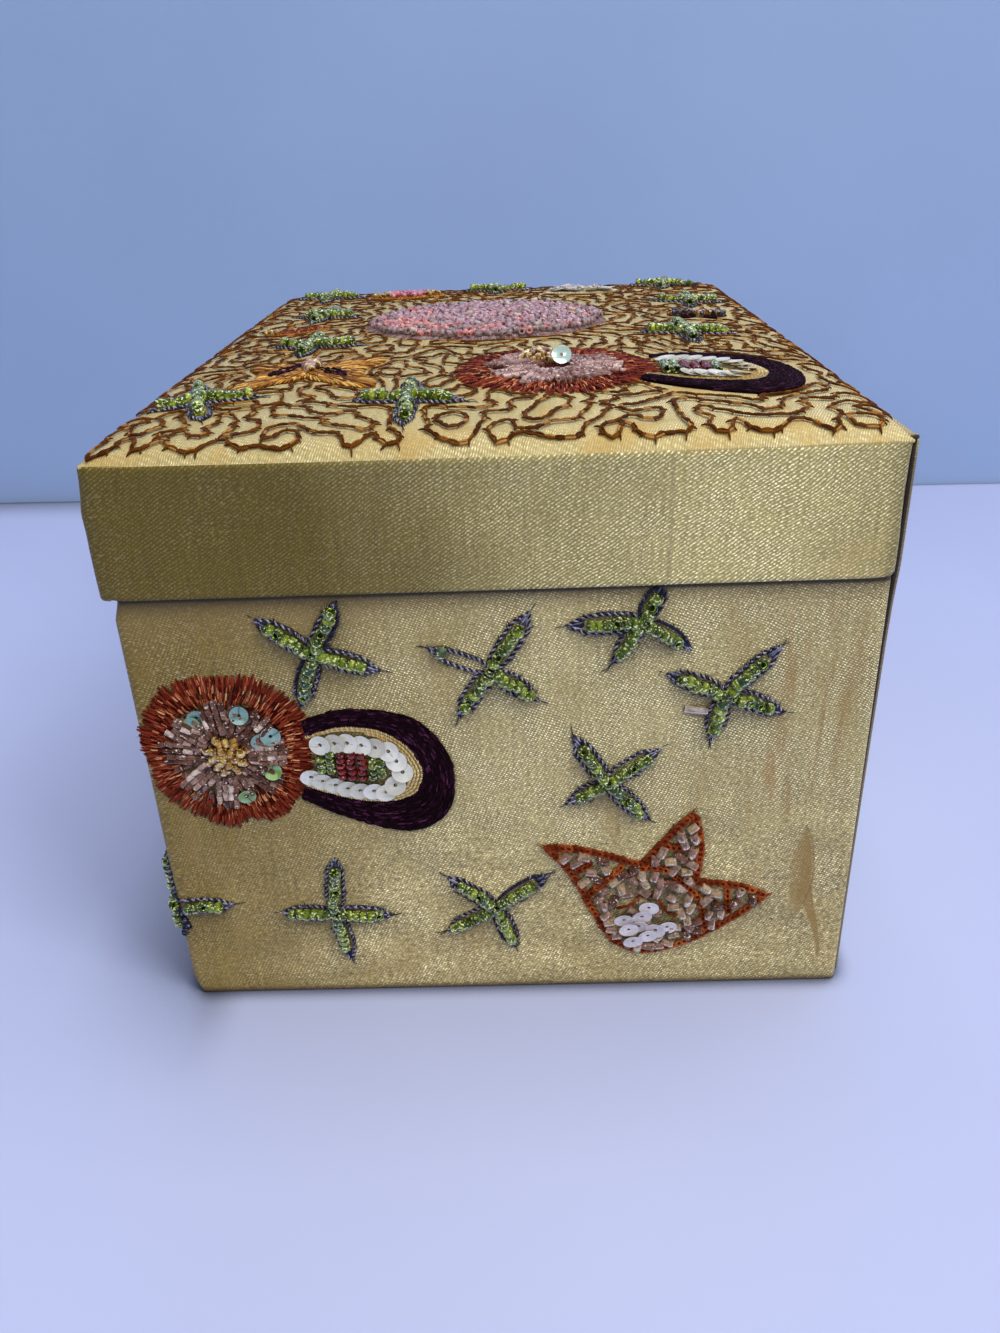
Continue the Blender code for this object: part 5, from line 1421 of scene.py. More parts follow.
# ------------------------------------------------------------------ motif makers
def star(b, S, u0, v0, arms, g, lost=(), clear=(), teal=()):
    """Four lobes: a string of seed beads in an outline of dark and silver twist. Materials: glass, its lining, dark, silver, clear, its hole."""
    for ai, (L, deg) in enumerate(arms):
        L *= 1.025
        a = radians(deg)
        c, s = cos(a), sin(a)
        wob = g.normal(0, 0.045)
        to = lambda x, y: (u0 + x * c - y * s, v0 + x * s + y * c)
        tip = L - 1.2
        xs = np.array([0.7, 1.6, 3.0, 4.8, 6.6, tip - 3.2, tip - 1.9, tip - 0.9, tip])
        ws = np.array([0.6, 1.25, 1.66, 1.80, 1.80, 1.58, 1.02, 0.48, 0.03])
        if L < 9.5:
            xs = np.array([0.7, 1.3, 2.1, 2.9, 3.7, tip - 2.1, tip - 1.3, tip - 0.6, tip])
        if L > 14.2:
            xs[3:5] = (tip * 0.34, tip * 0.52)
        for sg in (1, -1):
            bulge = 1 + 0.08 * g.normal()
            y = sg * (ws * bulge + 0.04 * g.normal(size=9)) + wob * xs
            pts = np.array([to(x, yy) for x, yy in zip(xs, y)])
            path = spline(pts, False, 0.25)
            pair = (2, 3) if g.random() < 0.86 else (2, 2)
            twist(b, S, path, r=0.225, ro=0.20, pitch=1.2 + 0.4 * g.random(), h=0.52, mats=pair, per=7, k=4)
            if g.random() < 0.85:
                q = path + sides(path) * sg * (0.22 if s * sg < 0 else -0.1)
                twist(b, S, q[2:int(len(q) * (0.6 + 0.4 * g.random()))], r=0.17, ro=0.14, pitch=1.1, h=0.34, mats=(2, 2), per=6, k=3)
            q = resample(path, 0.72)
            sd = sides(q)
            n = len(q)
            sel = g.random(n) < 0.72
            dirv = sd * sg
            al = np.gradient(q, axis=0)
            al /= np.maximum(np.linalg.norm(al, axis=1, keepdims=True), 1e-9)
            e = al * (0.3 + 0.5 * g.random((n, 1)))
            A = (q - dirv * 0.3 - e)[sel]
            B = (q + dirv * (0.45 + 0.55 * g.random((n, 1)) ** 2) + e * 0.7)[sel]
            if len(A):
                dark = g.random(len(A)) < 0.72
                for mm_, pick in ((2, dark), (3, ~dark)):
                    if pick.any():
                        stitches(b, S, A[pick], B[pick], 0.12, 0.22, 0.95, mm_, k=3)
        # the drawn-out point, filled with long dark stitches
        m_ = 7
        fx = np.linspace(-1, 1, m_)
        A = np.array([to(tip - 2.6 - 0.5 * g.random(), 0.9 * f_ + wob * tip) for f_ in fx])
        B = np.array([to(tip + 0.1 + 0.5 * g.random(), 0.12 * f_ + wob * tip) for f_ in fx])
        sil = g.random(m_) < 0.3
        if sil.any():
            stitches(b, S, A[sil], B[sil], 0.2, 0.4, 0.66, 3)
        stitches(b, S, A[~sil], B[~sil], 0.2, 0.4, 0.62, 2)
        P0 = np.array([[*to(tip - 0.6, wob * tip), 0.55], [*to(tip + 0.1, wob * tip), 0.42], [*to(tip + 0.6, wob * tip), 0.3],
                       [*to(tip + 1.3 + 0.4 * g.random(), wob * tip + 0.1 * g.normal()), 0.1]])
        strands(b, S, P0, np.array([[0.3, 0.24, 0.15, 0.05]]), 4, 2, g.random())
        hairs(b, S, [to(tip + 0.4, wob * tip)] * 2, deg, 2.5, 0.095, 2, 0.16)
        # beads
        last = L - 3.1 if L > 9.5 else L - 2.6
        if L > 14.8:
            last = L - 4.4
        x = 1.7
        while x < last:
            if (ai in lost) and x < last - 1.6:
                x += 1.5
                continue
            tnt = 0.88 * g.random() if g.random() < 0.93 else 0.9 + 0.1 * g.random()
            if ai in teal and g.random() < 0.55:
                tnt = 0.92 + 0.08 * g.random()
            if ai in clear and g.random() < 0.6:
                put(b, CUT, S, *to(x + 0.3, wob * x), 1.15, a + g.normal(0, 0.08), 0, g.random(), (1.1, 1.72, 1.6), 0, 0.45 + 0.4 * g.random())
                x += 2.25
                continue
            sc = 1.08 + 0.12 * g.random()
            y = wob * x + 0.20 * g.normal()
            flat_ = g.random() < 0.2
            put(b, SEED, S, *to(x, y), (1.0 if flat_ else 1.2 * sc) + 0.12 * g.random(), a + g.normal(0, 0.2), (1.15 if flat_ else g.normal(0, 0.16)), g.random() * 6,
                (sc, sc, sc * 0.97), 0, tnt)
            x += (2.0 if flat_ else 1.52) + 0.12 * g.random()
    put(b, SEED, S, u0 + 0.1, v0 + 0.1, 1.5, g.random() * 3, 0.5, 0, 1.05, 0, g.random() * 0.6)
    hairs(b, S, [(u0 + g.normal(0, 1.2), v0 + g.normal(0, 1.2)) for _ in range(4)], g.random() * 360, 1.6, 0.08, 3, 0.9)


STAR_MATS = [M_green, M_greenin, M_navy, M_silver, M_pink, M_pink_in]


def add_star(name, S, u, v, arms, body, seed_, node, **kw):
    b = Buf()
    stub = kw.pop("stub", None)
    star(b, S, u, v, arms, np.random.default_rng(seed_), **kw)
    if stub:
        put(b, BUGLE, S, u + stub[0], v + stub[1], 0.75, radians(stub[2]), 0.06, 0.2, (2.0, 1.9, 1.6), 4, 0.9)
    ob = make(name, b, [M_green_painted_lit] + STAR_MATS[1:] if body == "lid" else STAR_MATS)
    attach(ob, body)
    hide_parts(node)


extra = {1: dict(clear=(2,), teal=(3,)), 2: dict(lost=(0,)), 4: dict(stub=(-5.6, -3.4, -8)), 5: dict(teal=(2,)), 6: dict(teal=(2,)),
         7: dict(clear=(2,), stub=(1.2, -5.6, -60))}
for i, (u, v, arms) in enumerate(FRONT_STARS):
    add_star("star_front_%d" % (i + 1), on_front, u, v, arms, "base", 100 + i, "front_star_%d" % (i + 1), **extra.get(i + 1, {}))
add_star("star_corner", on_corner, -76.2, 26.5, ((16.0, 86), (14.1, 2), (10.6, -84), (10.5, 180)), "base", 108, "front_star_8")
for i, (u, v, arms) in enumerate(LID_STARS):
    add_star("star_lid_%d" % (i + 1), on_top, u, v, arms, "lid", 120 + i, "lid_star_%d" % (i + 1))
for i, (u, v, arms) in enumerate(LEFT_STARS):
    add_star("star_left_%d" % (i + 1), on_left, u, v, arms, "base", 140 + i, "left_star_%d" % (i + 1))
for i, (u, v, arms) in enumerate(BACK_STARS):
    add_star("star_back_%d" % (i + 1), on_back, u, v, arms, "base", 150 + i, "back_star_%d" % (i + 1))


def sequin(b, S, u, v, h, phi, tilt, R=2.3, m=0, tint=0.5, eye=None, roll_=0.0):
    """A cupped disc, tilted along phi, with a stitch from its eye."""
    put(b, DISC, S, u, v, h, phi, tilt, roll_, R / 2.3, m, tint)
    if eye is not None:
        a = phi + pi
        P = np.array([[u, v, h - 0.25], [u + 0.08 * cos(a), v + 0.08 * sin(a), h + 0.34], [u + 0.5 * R * cos(a), v + 0.5 * R * sin(a), h + 0.42 + 0.1 * R * sin(tilt)],
                      [u + R * 1.02 * cos(a), v + R * 1.02 * sin(a), max(h - R * sin(-tilt) - 0.1, 0.2)]])
        strands(b, S, P, 0.07, 3, eye, 0.3)


def flower(name, S, outline, centre, rin, body, node, seed_, spokes, sequins, heart=(0.0, 0.0), comb=(1.2, 1.9), glass_=None, low=0.0):
    g = np.random.default_rng(seed_)
    c = np.array(centre)
    o = resample(outline, 0.30, True)
    n = len(o)
    ang = np.arctan2(o[:, 1] - c[1], o[:, 0] - c[0])
    R = np.linalg.norm(o - c, axis=1)
    b = Buf()
    # filling: materials 0 rust, 1 ochre, 2 pink, 3 pink lining, 4 gold, 5 gold lining, 6 pearl, 7 dark
    fan_patch(b, S, resample(outline, 1.2, True) * 0.985 + c * 0.015, c, 0.12, 0.42, 0, 0.25)
    u = np.stack([np.cos(ang), np.sin(ang)], -1)
    ph = g.random() * 6
    for row, (dr, ln_, hz) in enumerate(((0.0, 2.3, 0.40), (1.7, 2.3, 0.58), (3.3, 2.3, 0.70), (4.7, 1.8, 0.74))):
        for half in (0, 1):
            jit = g.normal(0, 0.018, n)
            d = np.stack([np.cos(ang + jit), np.sin(ang + jit)], -1)
            zig = 0.45 * np.where((np.arange(n) + half) % 2 == 0, 1, -1) + 0.16 * g.normal(size=n)
            r1 = R * (1 + 0.012 * np.sin(ang * 9 + ph)) - dr + zig
            lenr = ln_ + 0.5 * g.random(n)
            r0 = np.maximum(r1 - lenr, rin - 1.2)
            tilt = g.normal(0, 0.07, n) + 0.10 * np.sin(ang * 5 + ph + row)
            sh = np.stack([-d[:, 1], d[:, 0]], -1) * tilt[:, None] * lenr[:, None]
            keep = (r1 - r0 > 0.9) & (((np.arange(n) + half) % 2) == 0) & (g.random(n) < 0.93)
            tn = np.where(g.random(n) < 0.30, 0.12 * g.random(n), 0.45 + 0.55 * g.random(n))
            stitches(b, S, (c + d * r0[:, None] + sh)[keep], (c + d * r1[:, None])[keep], 0.155, 0.2 + 0.1 * row, hz + 0.12 * half, 0, k=4,
                     jit=0.12, tint=tn[keep])
    sel = g.random(n) < 0.30
    stitches(b, S, (c + u * (R * 0.96)[:, None])[sel], (c + u * (R + 0.9 + 0.8 * g.random(n))[:, None])[sel], 0.07, 0.12, 0.2, 1, k=3)
    sel = g.random(n) < 0.30
    stitches(b, S, (c + u * (R * 0.93)[:, None])[sel], (c + u * (R + 0.35 + 0.5 * g.random(n))[:, None])[sel], 0.15, 0.12, 0.34, 0, k=4)
    # the ring's outer points: bundles of stitches that run together
    oc = resample(outline, comb[0], True)
    ac = np.arctan2(oc[:, 1] - c[1], oc[:, 0] - c[0])
    dc = np.stack([np.cos(ac), np.sin(ac)], -1)
    sc_ = np.stack([-dc[:, 1], dc[:, 0]], -1)
    ext = comb[1] * (0.35 + 0.65 * g.random((len(oc), 1)))
    lean = 0.25 * g.normal(size=(len(oc), 1))
    for q in (-1, 0, 1):
        stitches(b, S, oc - dc * (2.6 + 0.6 * g.random((len(oc), 1))) + sc_ * q * 0.30 * comb[0], oc + dc * (ext - 0.5) + sc_ * (lean + q * 0.07), 0.2, 0.3, 0.56, 0,
                 jit=0.1, tint=0.15 + 0.6 * g.random(len(oc)))
    # spokes of clear bugles
    for (deg, r0, r1, cnt, clear) in spokes:
        a = radians(deg)
        for q in range(cnt):
            off = (q - (cnt - 1) / 2) * 1.30 + 0.1 * g.normal()
            x = r0 + 0.8 * g.random()
            r1_ = r1 + 0.5 * g.normal()
            while x < r1_ - 1.0:
                hl = min(0.86 + 0.22 * g.random(), (r1_ - x) / 2)
                uu_, vv_ = c[0] + (x + hl) * cos(a) - off * sin(a), c[1] + (x + hl) * sin(a) + off * cos(a)
                put(b, BUGLE, S, uu_, vv_, 1.3 - low + 0.3 * g.random() - 0.03 * (x - r0), a + g.normal(0, 0.12), g.normal(0, 0.12) - 0.04, g.random(), (hl / 1.2, 1.44, 1.44),
                    2, min(max((0.58 if clear else 0.34) + g.normal(0, 0.26), 0), 1))
                x += 2 * hl + 0.10
            e = [c[0] + r1 * cos(a) - off * sin(a), c[1] + r1 * sin(a) + off * cos(a)]
            hairs(b, S, [e], deg, 1.0, 0.06, 1, 0.8)
    # bugles laid lower fill the gaps between the spokes
    for q in range(46):
        a = TAU * (q + 0.5 * g.random()) / 46
        for x in (4.6, 6.8, 9.0, 11.2):
            x += g.normal(0, 0.35)
            if x + 1.2 > rin + 0.9 or g.random() < 0.22:
                continue
            put(b, BUGLE, S, c[0] + x * cos(a), c[1] + x * sin(a), 0.62 + 0.28 * g.random(), a + g.normal(0, 0.22), g.normal(0, 0.12), 0,
                (0.8, 1.3, 1.3), 2, g.random() * 0.5)
    # heart of gold beads, two deep
    k_ = 0
    hc = c + np.array(heart)
    for r_, cnt, h_ in ((0.0, 1, 2.5), (1.7, 6, 2.25), (3.2, 10, 1.8), (4.2, 8, 1.3)):
        for q in range(cnt):
            a = TAU * (q + 0.3 * g.random()) / cnt + r_
            put(b, SEED_S, S, hc[0] + r_ * cos(a) + g.normal(0, 0.12), hc[1] + r_ * sin(a) + g.normal(0, 0.12), h_ + 0.1 * g.random(),
                a + pi / 2 + g.normal(0, 0.4), g.normal(0, 0.25), g.random() * 3, 1.16 + 0.12 * g.random(), 4, g.random())
    for (du, dv, R_, tnt, tl) in sequins:
        sequin(b, S, c[0] + du, c[1] + dv, 1.5 + 2.4 * max(abs(tl) - 0.4, 0), (pi / 2 if abs(tl) > 0.4 else g.random() * 6), tl, R_, 6, tnt, None if abs(tl) > 0.4 else 7)
    ob = make(name, b, [M_rust, M_ochre, glass_ or M_pink, M_pink_in, M_gold_b, M_gold_in, M_pearl, M_navy], sharp=50)
    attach(ob, body)
    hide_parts(node)
    return ob


FLOWER_OUT = spline(((-75.2, 71.5), (-70.1, 80.6), (-64.9, 83.6), (-57.8, 84.4), (-50.6, 84.2), (-45.4, 80.6), (-41.5, 76.6), (-40.2, 70.6),
                     (-40.9, 65), (-42.2, 60), (-45, 55), (-49.4, 50.6), (-55.6, 50.4), (-60, 48.4), (-63.9, 50.1), (-68.9, 53.4), (-73.6, 58),
                     (-74.3, 63.8)), True, 0.5)
SPOKES = ((2, 4.0, 13.0, 5, True), (-38, 4.2, 12.6, 4, False), (-68, 4.6, 10.6, 3, False), (-97, 4.4, 13.4, 4, True), (-138, 4.4, 12.8, 4, True), (176, 4.4, 13.0, 4, False),
          (145, 4.2, 13.6, 4, True), (117, 4.6, 10.0, 3, False), (98, 4.4, 13.0, 4, False), (73, 4.6, 9.8, 3, False), (44, 4.4, 12.6, 4, False))
SEQS = ((-4.9, 9.3, 1.9, 0.05, 0.25), (-5.9, 8.0, 1.75, 0.95, -0.2), (4.0, 9.5, 2.0, 0.15, 0.2), (9.8, 4.4, 2.1, 0.3, 0.15), (7.4, 3.4, 1.9, 0.2, -0.35), (9.2, -4.2, 1.9, 1.0, 0.3),
        (2.8, -10.2, 1.9, 0.95, 0.35))
flower("flower_front", on_front, FLOWER_OUT, (-57.8, 66.8), 11.6, "base", "front_flower", 5, SPOKES, SEQS, glass_=M_flow)
flower("flower_back", on_back, ring(18.0, 42.0, 16.4, 16.4, 0, 120, 5, 0.045, 1.1), (18.0, 42.0), 11.0, "base", "back_flower", 6,
       tuple((d + 20, a, b_ - 0.4, c_, e) for d, a, b_, c_, e in SPOKES), SEQS[:5], glass_=M_flow)
flower("flower_lid", on_top, LFLOWER, LFC, 14.2, "lid", "lid_flower", 8,
       tuple((d - 12, a, b_ + 2.2, c_ + 1, e) for d, a, b_, c_, e in SPOKES), ((1.6, 1.6, 2.15, 0.58, 1.0),), (-2.9, 8.0), (2.3, 3.6), M_rose_b, 0.35)

# ------------------------------------------------------------------ paisleys
def paisley(name, S, outer, inner, seqs, columns, body, node, seed_, rowsz=4, seqR=2.3, over=1):
    """A band of dark floss between two open paths, gold rows inside it, white sequins and strings of beads."""
    g = np.random.default_rng(seed_)
    a = spline(outer, False, 0.5)
    bn = spline(inner, False, 0.5)
    n = 160
    a = resample(a, 1.0)
    L = np.linspace(0, 1, n)
    def re(p):
        d = np.r_[0, np.cumsum(np.linalg.norm(np.diff(p, axis=0), axis=1))]
        return np.stack([np.interp(L * d[-1], d, p[:, k_]) for k_ in range(2)], -1)
    a, bn = re(a), re(bn)
    b = Buf()
    # materials 0 dark, 1 zari, 2 white, 3 green, 4 green lining, 5 red, 6 red lining, 7 thread
    band_patch(b, S, a, bn, 0.42, 0, 0.2)
    width = np.linalg.norm(a - bn, axis=1)
    for layer in range(2):
        rows = int(width.max() / 0.40)
        for rI in range(rows):
            w0 = (rI + 0.5 * layer + 0.3) / rows
            if w0 > 0.99:
                continue
            line = a + (bn - a) * w0
            d = np.r_[0, np.cumsum(np.linalg.norm(np.diff(line, axis=0), axis=1))]
            s = -2.0 * g.random()
            A, B = [], []
            while s < d[-1]:
                ln = 1.5 + 1.3 * g.random()
                s0, s1 = max(s, 0), min(s + ln, d[-1])
                if s1 - s0 > 0.8:
                    pa = [np.interp(s0, d, line[:, k_]) for k_ in range(2)]
                    pb = [np.interp(s1, d, line[:, k_]) for k_ in range(2)]
                    A.append(pa)
                    B.append(np.array(pb) + g.normal(0, 0.12, 2))
                s += ln * 0.86
            if A:
                hz = 0.62 * sqrt(max(1 - (2 * w0 - 1) ** 2, 0.0))
                stitches(b, S, np.array(A), np.array(B), 0.185, 0.2 + 0.4 * hz, 0.42 + 0.45 * hz, 0, k=4, jit=0.16, tint=g.random(len(A)) ** 1.5)
    c = bn.mean(0)
    # gold rows follow the inside of the band, more of them towards the round end
    fullness = np.sin(np.linspace(0, pi, n)) ** 0.8
    tn_ = np.gradient(bn, axis=0)
    nrm = np.stack([-tn_[:, 1], tn_[:, 0]], -1)
    nrm /= np.linalg.norm(nrm, axis=1, keepdims=True)
    if ((c - bn) * nrm).sum() < 0:
        nrm = -nrm
    for q in range(rowsz):
        gap_ = (0.16 + 0.72 * q * (0.28 + 0.72 * fullness[:, None])) if q else 0.1
        p = bn + nrm * gap_
        lo_, hi_ = (0, n) if q < 2 else (int(n * (0.10 + 0.06 * q)), int(n * (0.94 - 0.05 * q)))
        twist(b, S, p[lo_:hi_], 0.23, 0.2, 1.05, 0.46 + 0.04 * q, (1, 1), 6)
    for i, (su, sv) in enumerate(seqs):
        nxt = seqs[min(i + 1, len(seqs) - 1)]
        prv = seqs[max(i - 1, 0)]
        phi = np.arctan2(nxt[1] - prv[1], nxt[0] - prv[0])
        sequin(b, S, su, sv, 0.98 + 0.06 * g.random(), phi, 0.17 * over, seqR, 2, g.random(), 8, -0.2 if name == "paisley_front" and i > 8 else 0.0)
    for (cu, v0_, v1_, kind) in columns:
        v = v0_
        while v < v1_:
            put(b, SEED_S, S, cu + g.normal(0, 0.1), v, 1.15, pi / 2 + g.normal(0, 0.12), g.normal(0, 0.1), g.random(), (1.1, 1.22, 1.16),
                3 if kind == "g" else 5, g.random() * 0.85)
            v += 1.34
    ob = make(name, b, [M_purple, M_zari, M_white, M_green, M_greenin, M_red, M_red_in, M_navy, M_cream], sharp=50)
    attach(ob, body)
    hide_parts(node)
    return ob


P_OUT = ((-41.6, 74.0), (-37.0, 75.6), (-32.2, 76.5), (-24.6, 75.9), (-18.9, 74.2), (-15.4, 71.5), (-12.4, 67), (-10.8, 62.1), (-10.6, 57.3), (-11.6, 51.9),
         (-14.6, 48.1), (-19.8, 45.9), (-25.9, 46.7), (-32, 49), (-38.4, 51.9), (-43.6, 55.2))
P_IN = ((-41.2, 70.4), (-39.5, 70.9), (-33.9, 72.3), (-27.5, 71.8), (-22.9, 69.7), (-19.5, 66.3), (-17.4, 61.4), (-18.1, 57.9), (-19.5, 55.7), (-24.1, 54.0),
        (-31.4, 54.5), (-38.7, 56.8), (-42.2, 58.3))
P_SEQ = ((-38.1, 68.5), (-35.1, 68.8), (-32.4, 68.8), (-29.5, 68.2), (-26.7, 67.5), (-24, 66.5), (-22.5, 64.1), (-21.4, 61.3), (-23.2, 58.1), (-25.3, 56.4),
         (-27.9, 56.8), (-30.8, 57.0), (-33.4, 57.6), (-35.9, 58.5), (-38.6, 59.6), (-40.9, 60.7))
COLS = ((-38.3, 62.4, 66.4, "g"), (-36.3, 62.2, 66.4, "g"), (-34.2, 60.8, 66.2, "r"), (-32.0, 60.6, 66.2, "r"), (-29.8, 60.4, 65.8, "r"), (-27.7, 60.4, 65.2, "g"),
        (-25.9, 60.9, 64.4, "g"))
paisley("paisley_front", on_front, P_OUT, P_IN, P_SEQ, COLS, "base", "front_paisley", 9)

# the lid's paisley is the same figure, turned and drawn a little larger
def onto(pts, c0, c1, sc, deg, mir=1.0):
    p = (np.asarray(pts, float) - c0) * np.array([1.0, mir]) * sc
    a = radians(deg)
    return np.stack([c1[0] + p[:, 0] * cos(a) - p[:, 1] * sin(a), c1[1] + p[:, 0] * sin(a) + p[:, 1] * cos(a)], -1)


lp = lambda q: onto(q, np.array([-26.2, 61.2]), (49.4, -60.4), np.array([1.03, 1.22]), -6)
paisley("paisley_lid", on_top, lp(P_OUT), lp(P_IN), lp(P_SEQ[:13]), [(x, y - 1.4, y + 4.2, kd_) for (x, y), kd_ in
        zip(lp([(-38.3, 61.4), (-36.3, 61.2), (-34.2, 60.8), (-32.0, 60.6), (-29.8, 60.8), (-27.7, 61.4)]), "ggrrrg")], "lid", "lid_paisley", 10, 6)

# ------------------------------------------------------------------ rosebuds
RB_OUT = ((8.5, 40.4), (13.9, 40.1), (20.6, 38.5), (29.4, 35.0), (32.2, 38.6), (36.0, 43.6), (40.2, 48.2), (41.7, 45.4), (42.6, 38.6), (41.6, 30.2), (47.5, 29.5),
          (52.6, 28.4), (57.6, 25.8), (52.0, 20.7), (45.4, 16.0), (38.6, 12.3), (31.5, 10.6), (26.5, 11.7), (22.6, 15.4), (18.4, 23.6), (13.9, 33.4))
RB_IN = (((18.6, 36.0), (15.3, 34.0)), ((24.4, 33.4), (19.3, 29.0)), ((25.4, 35.2), (18.0, 27.4)), ((29.1, 34.4), (34.3, 34.0), (39.5, 29.4), (42.8, 25.0), (44.5, 16.6)),
         ((33.3, 40.4), (39.4, 39.4)), ((48.8, 28.2), (49.5, 21.4)))
RB_SEQ = ((31.3, 24.0), (29.8, 21.4), (25.8, 20.4), (29.2, 18.4), (26.9, 17.9), (33, 17.4), (35.6, 18.1), (31.3, 15.6), (27.9, 14.4))


def rosebud(name, S, du, dv, body, node, seed_):
    g = np.random.default_rng(seed_)
    sh = np.array([du, dv])
    corners = [0, 6, 12]                             # points that stay sharp
    o = np.array(RB_OUT)
    runs = [o[0:4], o[3:7], o[6:10], o[9:13], np.vstack([o[12:], o[:1]])]
    path = np.vstack([spline(r_, False, 0.5)[:-1] for r_ in runs]) + sh
    b = Buf()
    # materials 0 rust, 1 ochre, 2 pink, 3 pink lining, 4 white, 5 dark, 6 gold, 7 gold lining
    c = path.mean(0)
    sd = sides(path, True)
    sgn = 1.0 if inside((path + sd * 0.75)[:1, 0], (path + sd * 0.75)[:1, 1], path)[0] else -1.0
    chain(b, S, path + sd * sgn * 0.1, width=2.0, pitch=1.4, r=0.32, h=0.55, m=0, closed=True, ticks=0.55)
    lines_ = [spline(np.array(l) + sh, False, 0.4) for l in RB_IN]
    for p in lines_:
        chain(b, S, p, width=1.75, pitch=1.3, r=0.3, h=0.85, m=0, ticks=0.35)
    around = spline(np.array(((24.2, 23.0), (27.6, 24.0), (29.0, 26.2), (33.0, 26.0), (35.0, 22.4), (37.6, 20.4))) + sh, False, 0.4)
    chain(b, S, around, width=0.9, pitch=1.4, r=0.2, h=0.5, m=0)
    lines_.append(around)
    for t in corners:
        d = o[t] + sh - c
        dg = np.degrees(np.arctan2(d[1], d[0]))
        e = d / np.linalg.norm(d)
        k_ = 9
        A = o[t] + sh - e * 2.2 + g.normal(0, 0.55, (k_, 2))
        B = o[t] + sh + e * (0.2 + 0.9 * g.random((k_, 1))) + g.normal(0, 0.12, (k_, 2))
        stitches(b, S, A, B, 0.18, 0.3, 0.7, 0)
        hairs(b, S, [o[t] + sh] * 3, dg, 2.0, 0.08, 0, 0.3)
        hairs(b, S, [o[t] + sh] * 2, dg, 2.6, 0.05, 1, 0.3)
    # clear cut beads fill the petals, set at all angles
    lo, hi = path.min(0), path.max(0)
    sq = np.array(RB_SEQ) + sh
    pk = kdtree.KDTree(len(path) + sum(len(l) for l in lines_))
    i = 0
    for l, extra_ in [(path, 0.0)] + [(l, 0.25) for l in lines_]:
        for p in l:
            pk.insert((p[0], p[1], extra_), i)
            i += 1
    pk.balance()
    cand = lo + (hi - lo) * g.random((5200, 2))
    cand = cand[inside(cand[:, 0], cand[:, 1], path)]
    taken = np.zeros((0, 2))
    for p in cand:
        if pk.find((p[0], p[1], 0))[2] < 1.3:
            continue
        if len(taken) and np.min(np.hypot(*(taken - p).T)) < 2.15:
            continue
        taken = np.vstack([taken, p])
        if np.min(np.hypot(*(sq - p).T)) < 1.5:
            continue
        put(b, CUT, S, p[0], p[1], 0.92 + 0.2 * g.random(), g.random() * 6, g.normal(0, 0.16), g.random(), (1.15 + 0.35 * g.random(), 1.42, 1.3),
            8 if g.random() < 0.72 else 2, 0.1 + 0.8 * g.random())
        if g.random() < 0.16:
            a = g.random() * 6
            put(b, SEED_S, S, p[0] + 1.0 * cos(a), p[1] + 1.0 * sin(a), 0.8, g.random() * 6, g.normal(0, 0.4), g.random(), 0.72, 6, g.random())
    for i, (su, sv) in enumerate(sq):
        sequin(b, S, su, sv + 0.5, 2.35 - 0.14 * (i % 4), -pi / 2 + g.normal(0, 0.3), -0.26 - 0.12 * g.random(), 2.25, 8 + 2, 0.3 + 0.7 * g.random(), None)
    ob = make(name, b, [M_rust2, M_ochre, M_flow, M_pink_in, M_white, M_navy, M_gold_b, M_gold_in, M_clear, M_pink_in, M_lilac_seq], sharp=50)
    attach(ob, body)
    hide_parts(node)


rosebud("rosebud_front", on_front, 0.0, 0.0, "base", "front_rosebud", 12)
rosebud("rosebud_left", on_left, -62.0, 12.0, "base", "left_rosebud", 13)

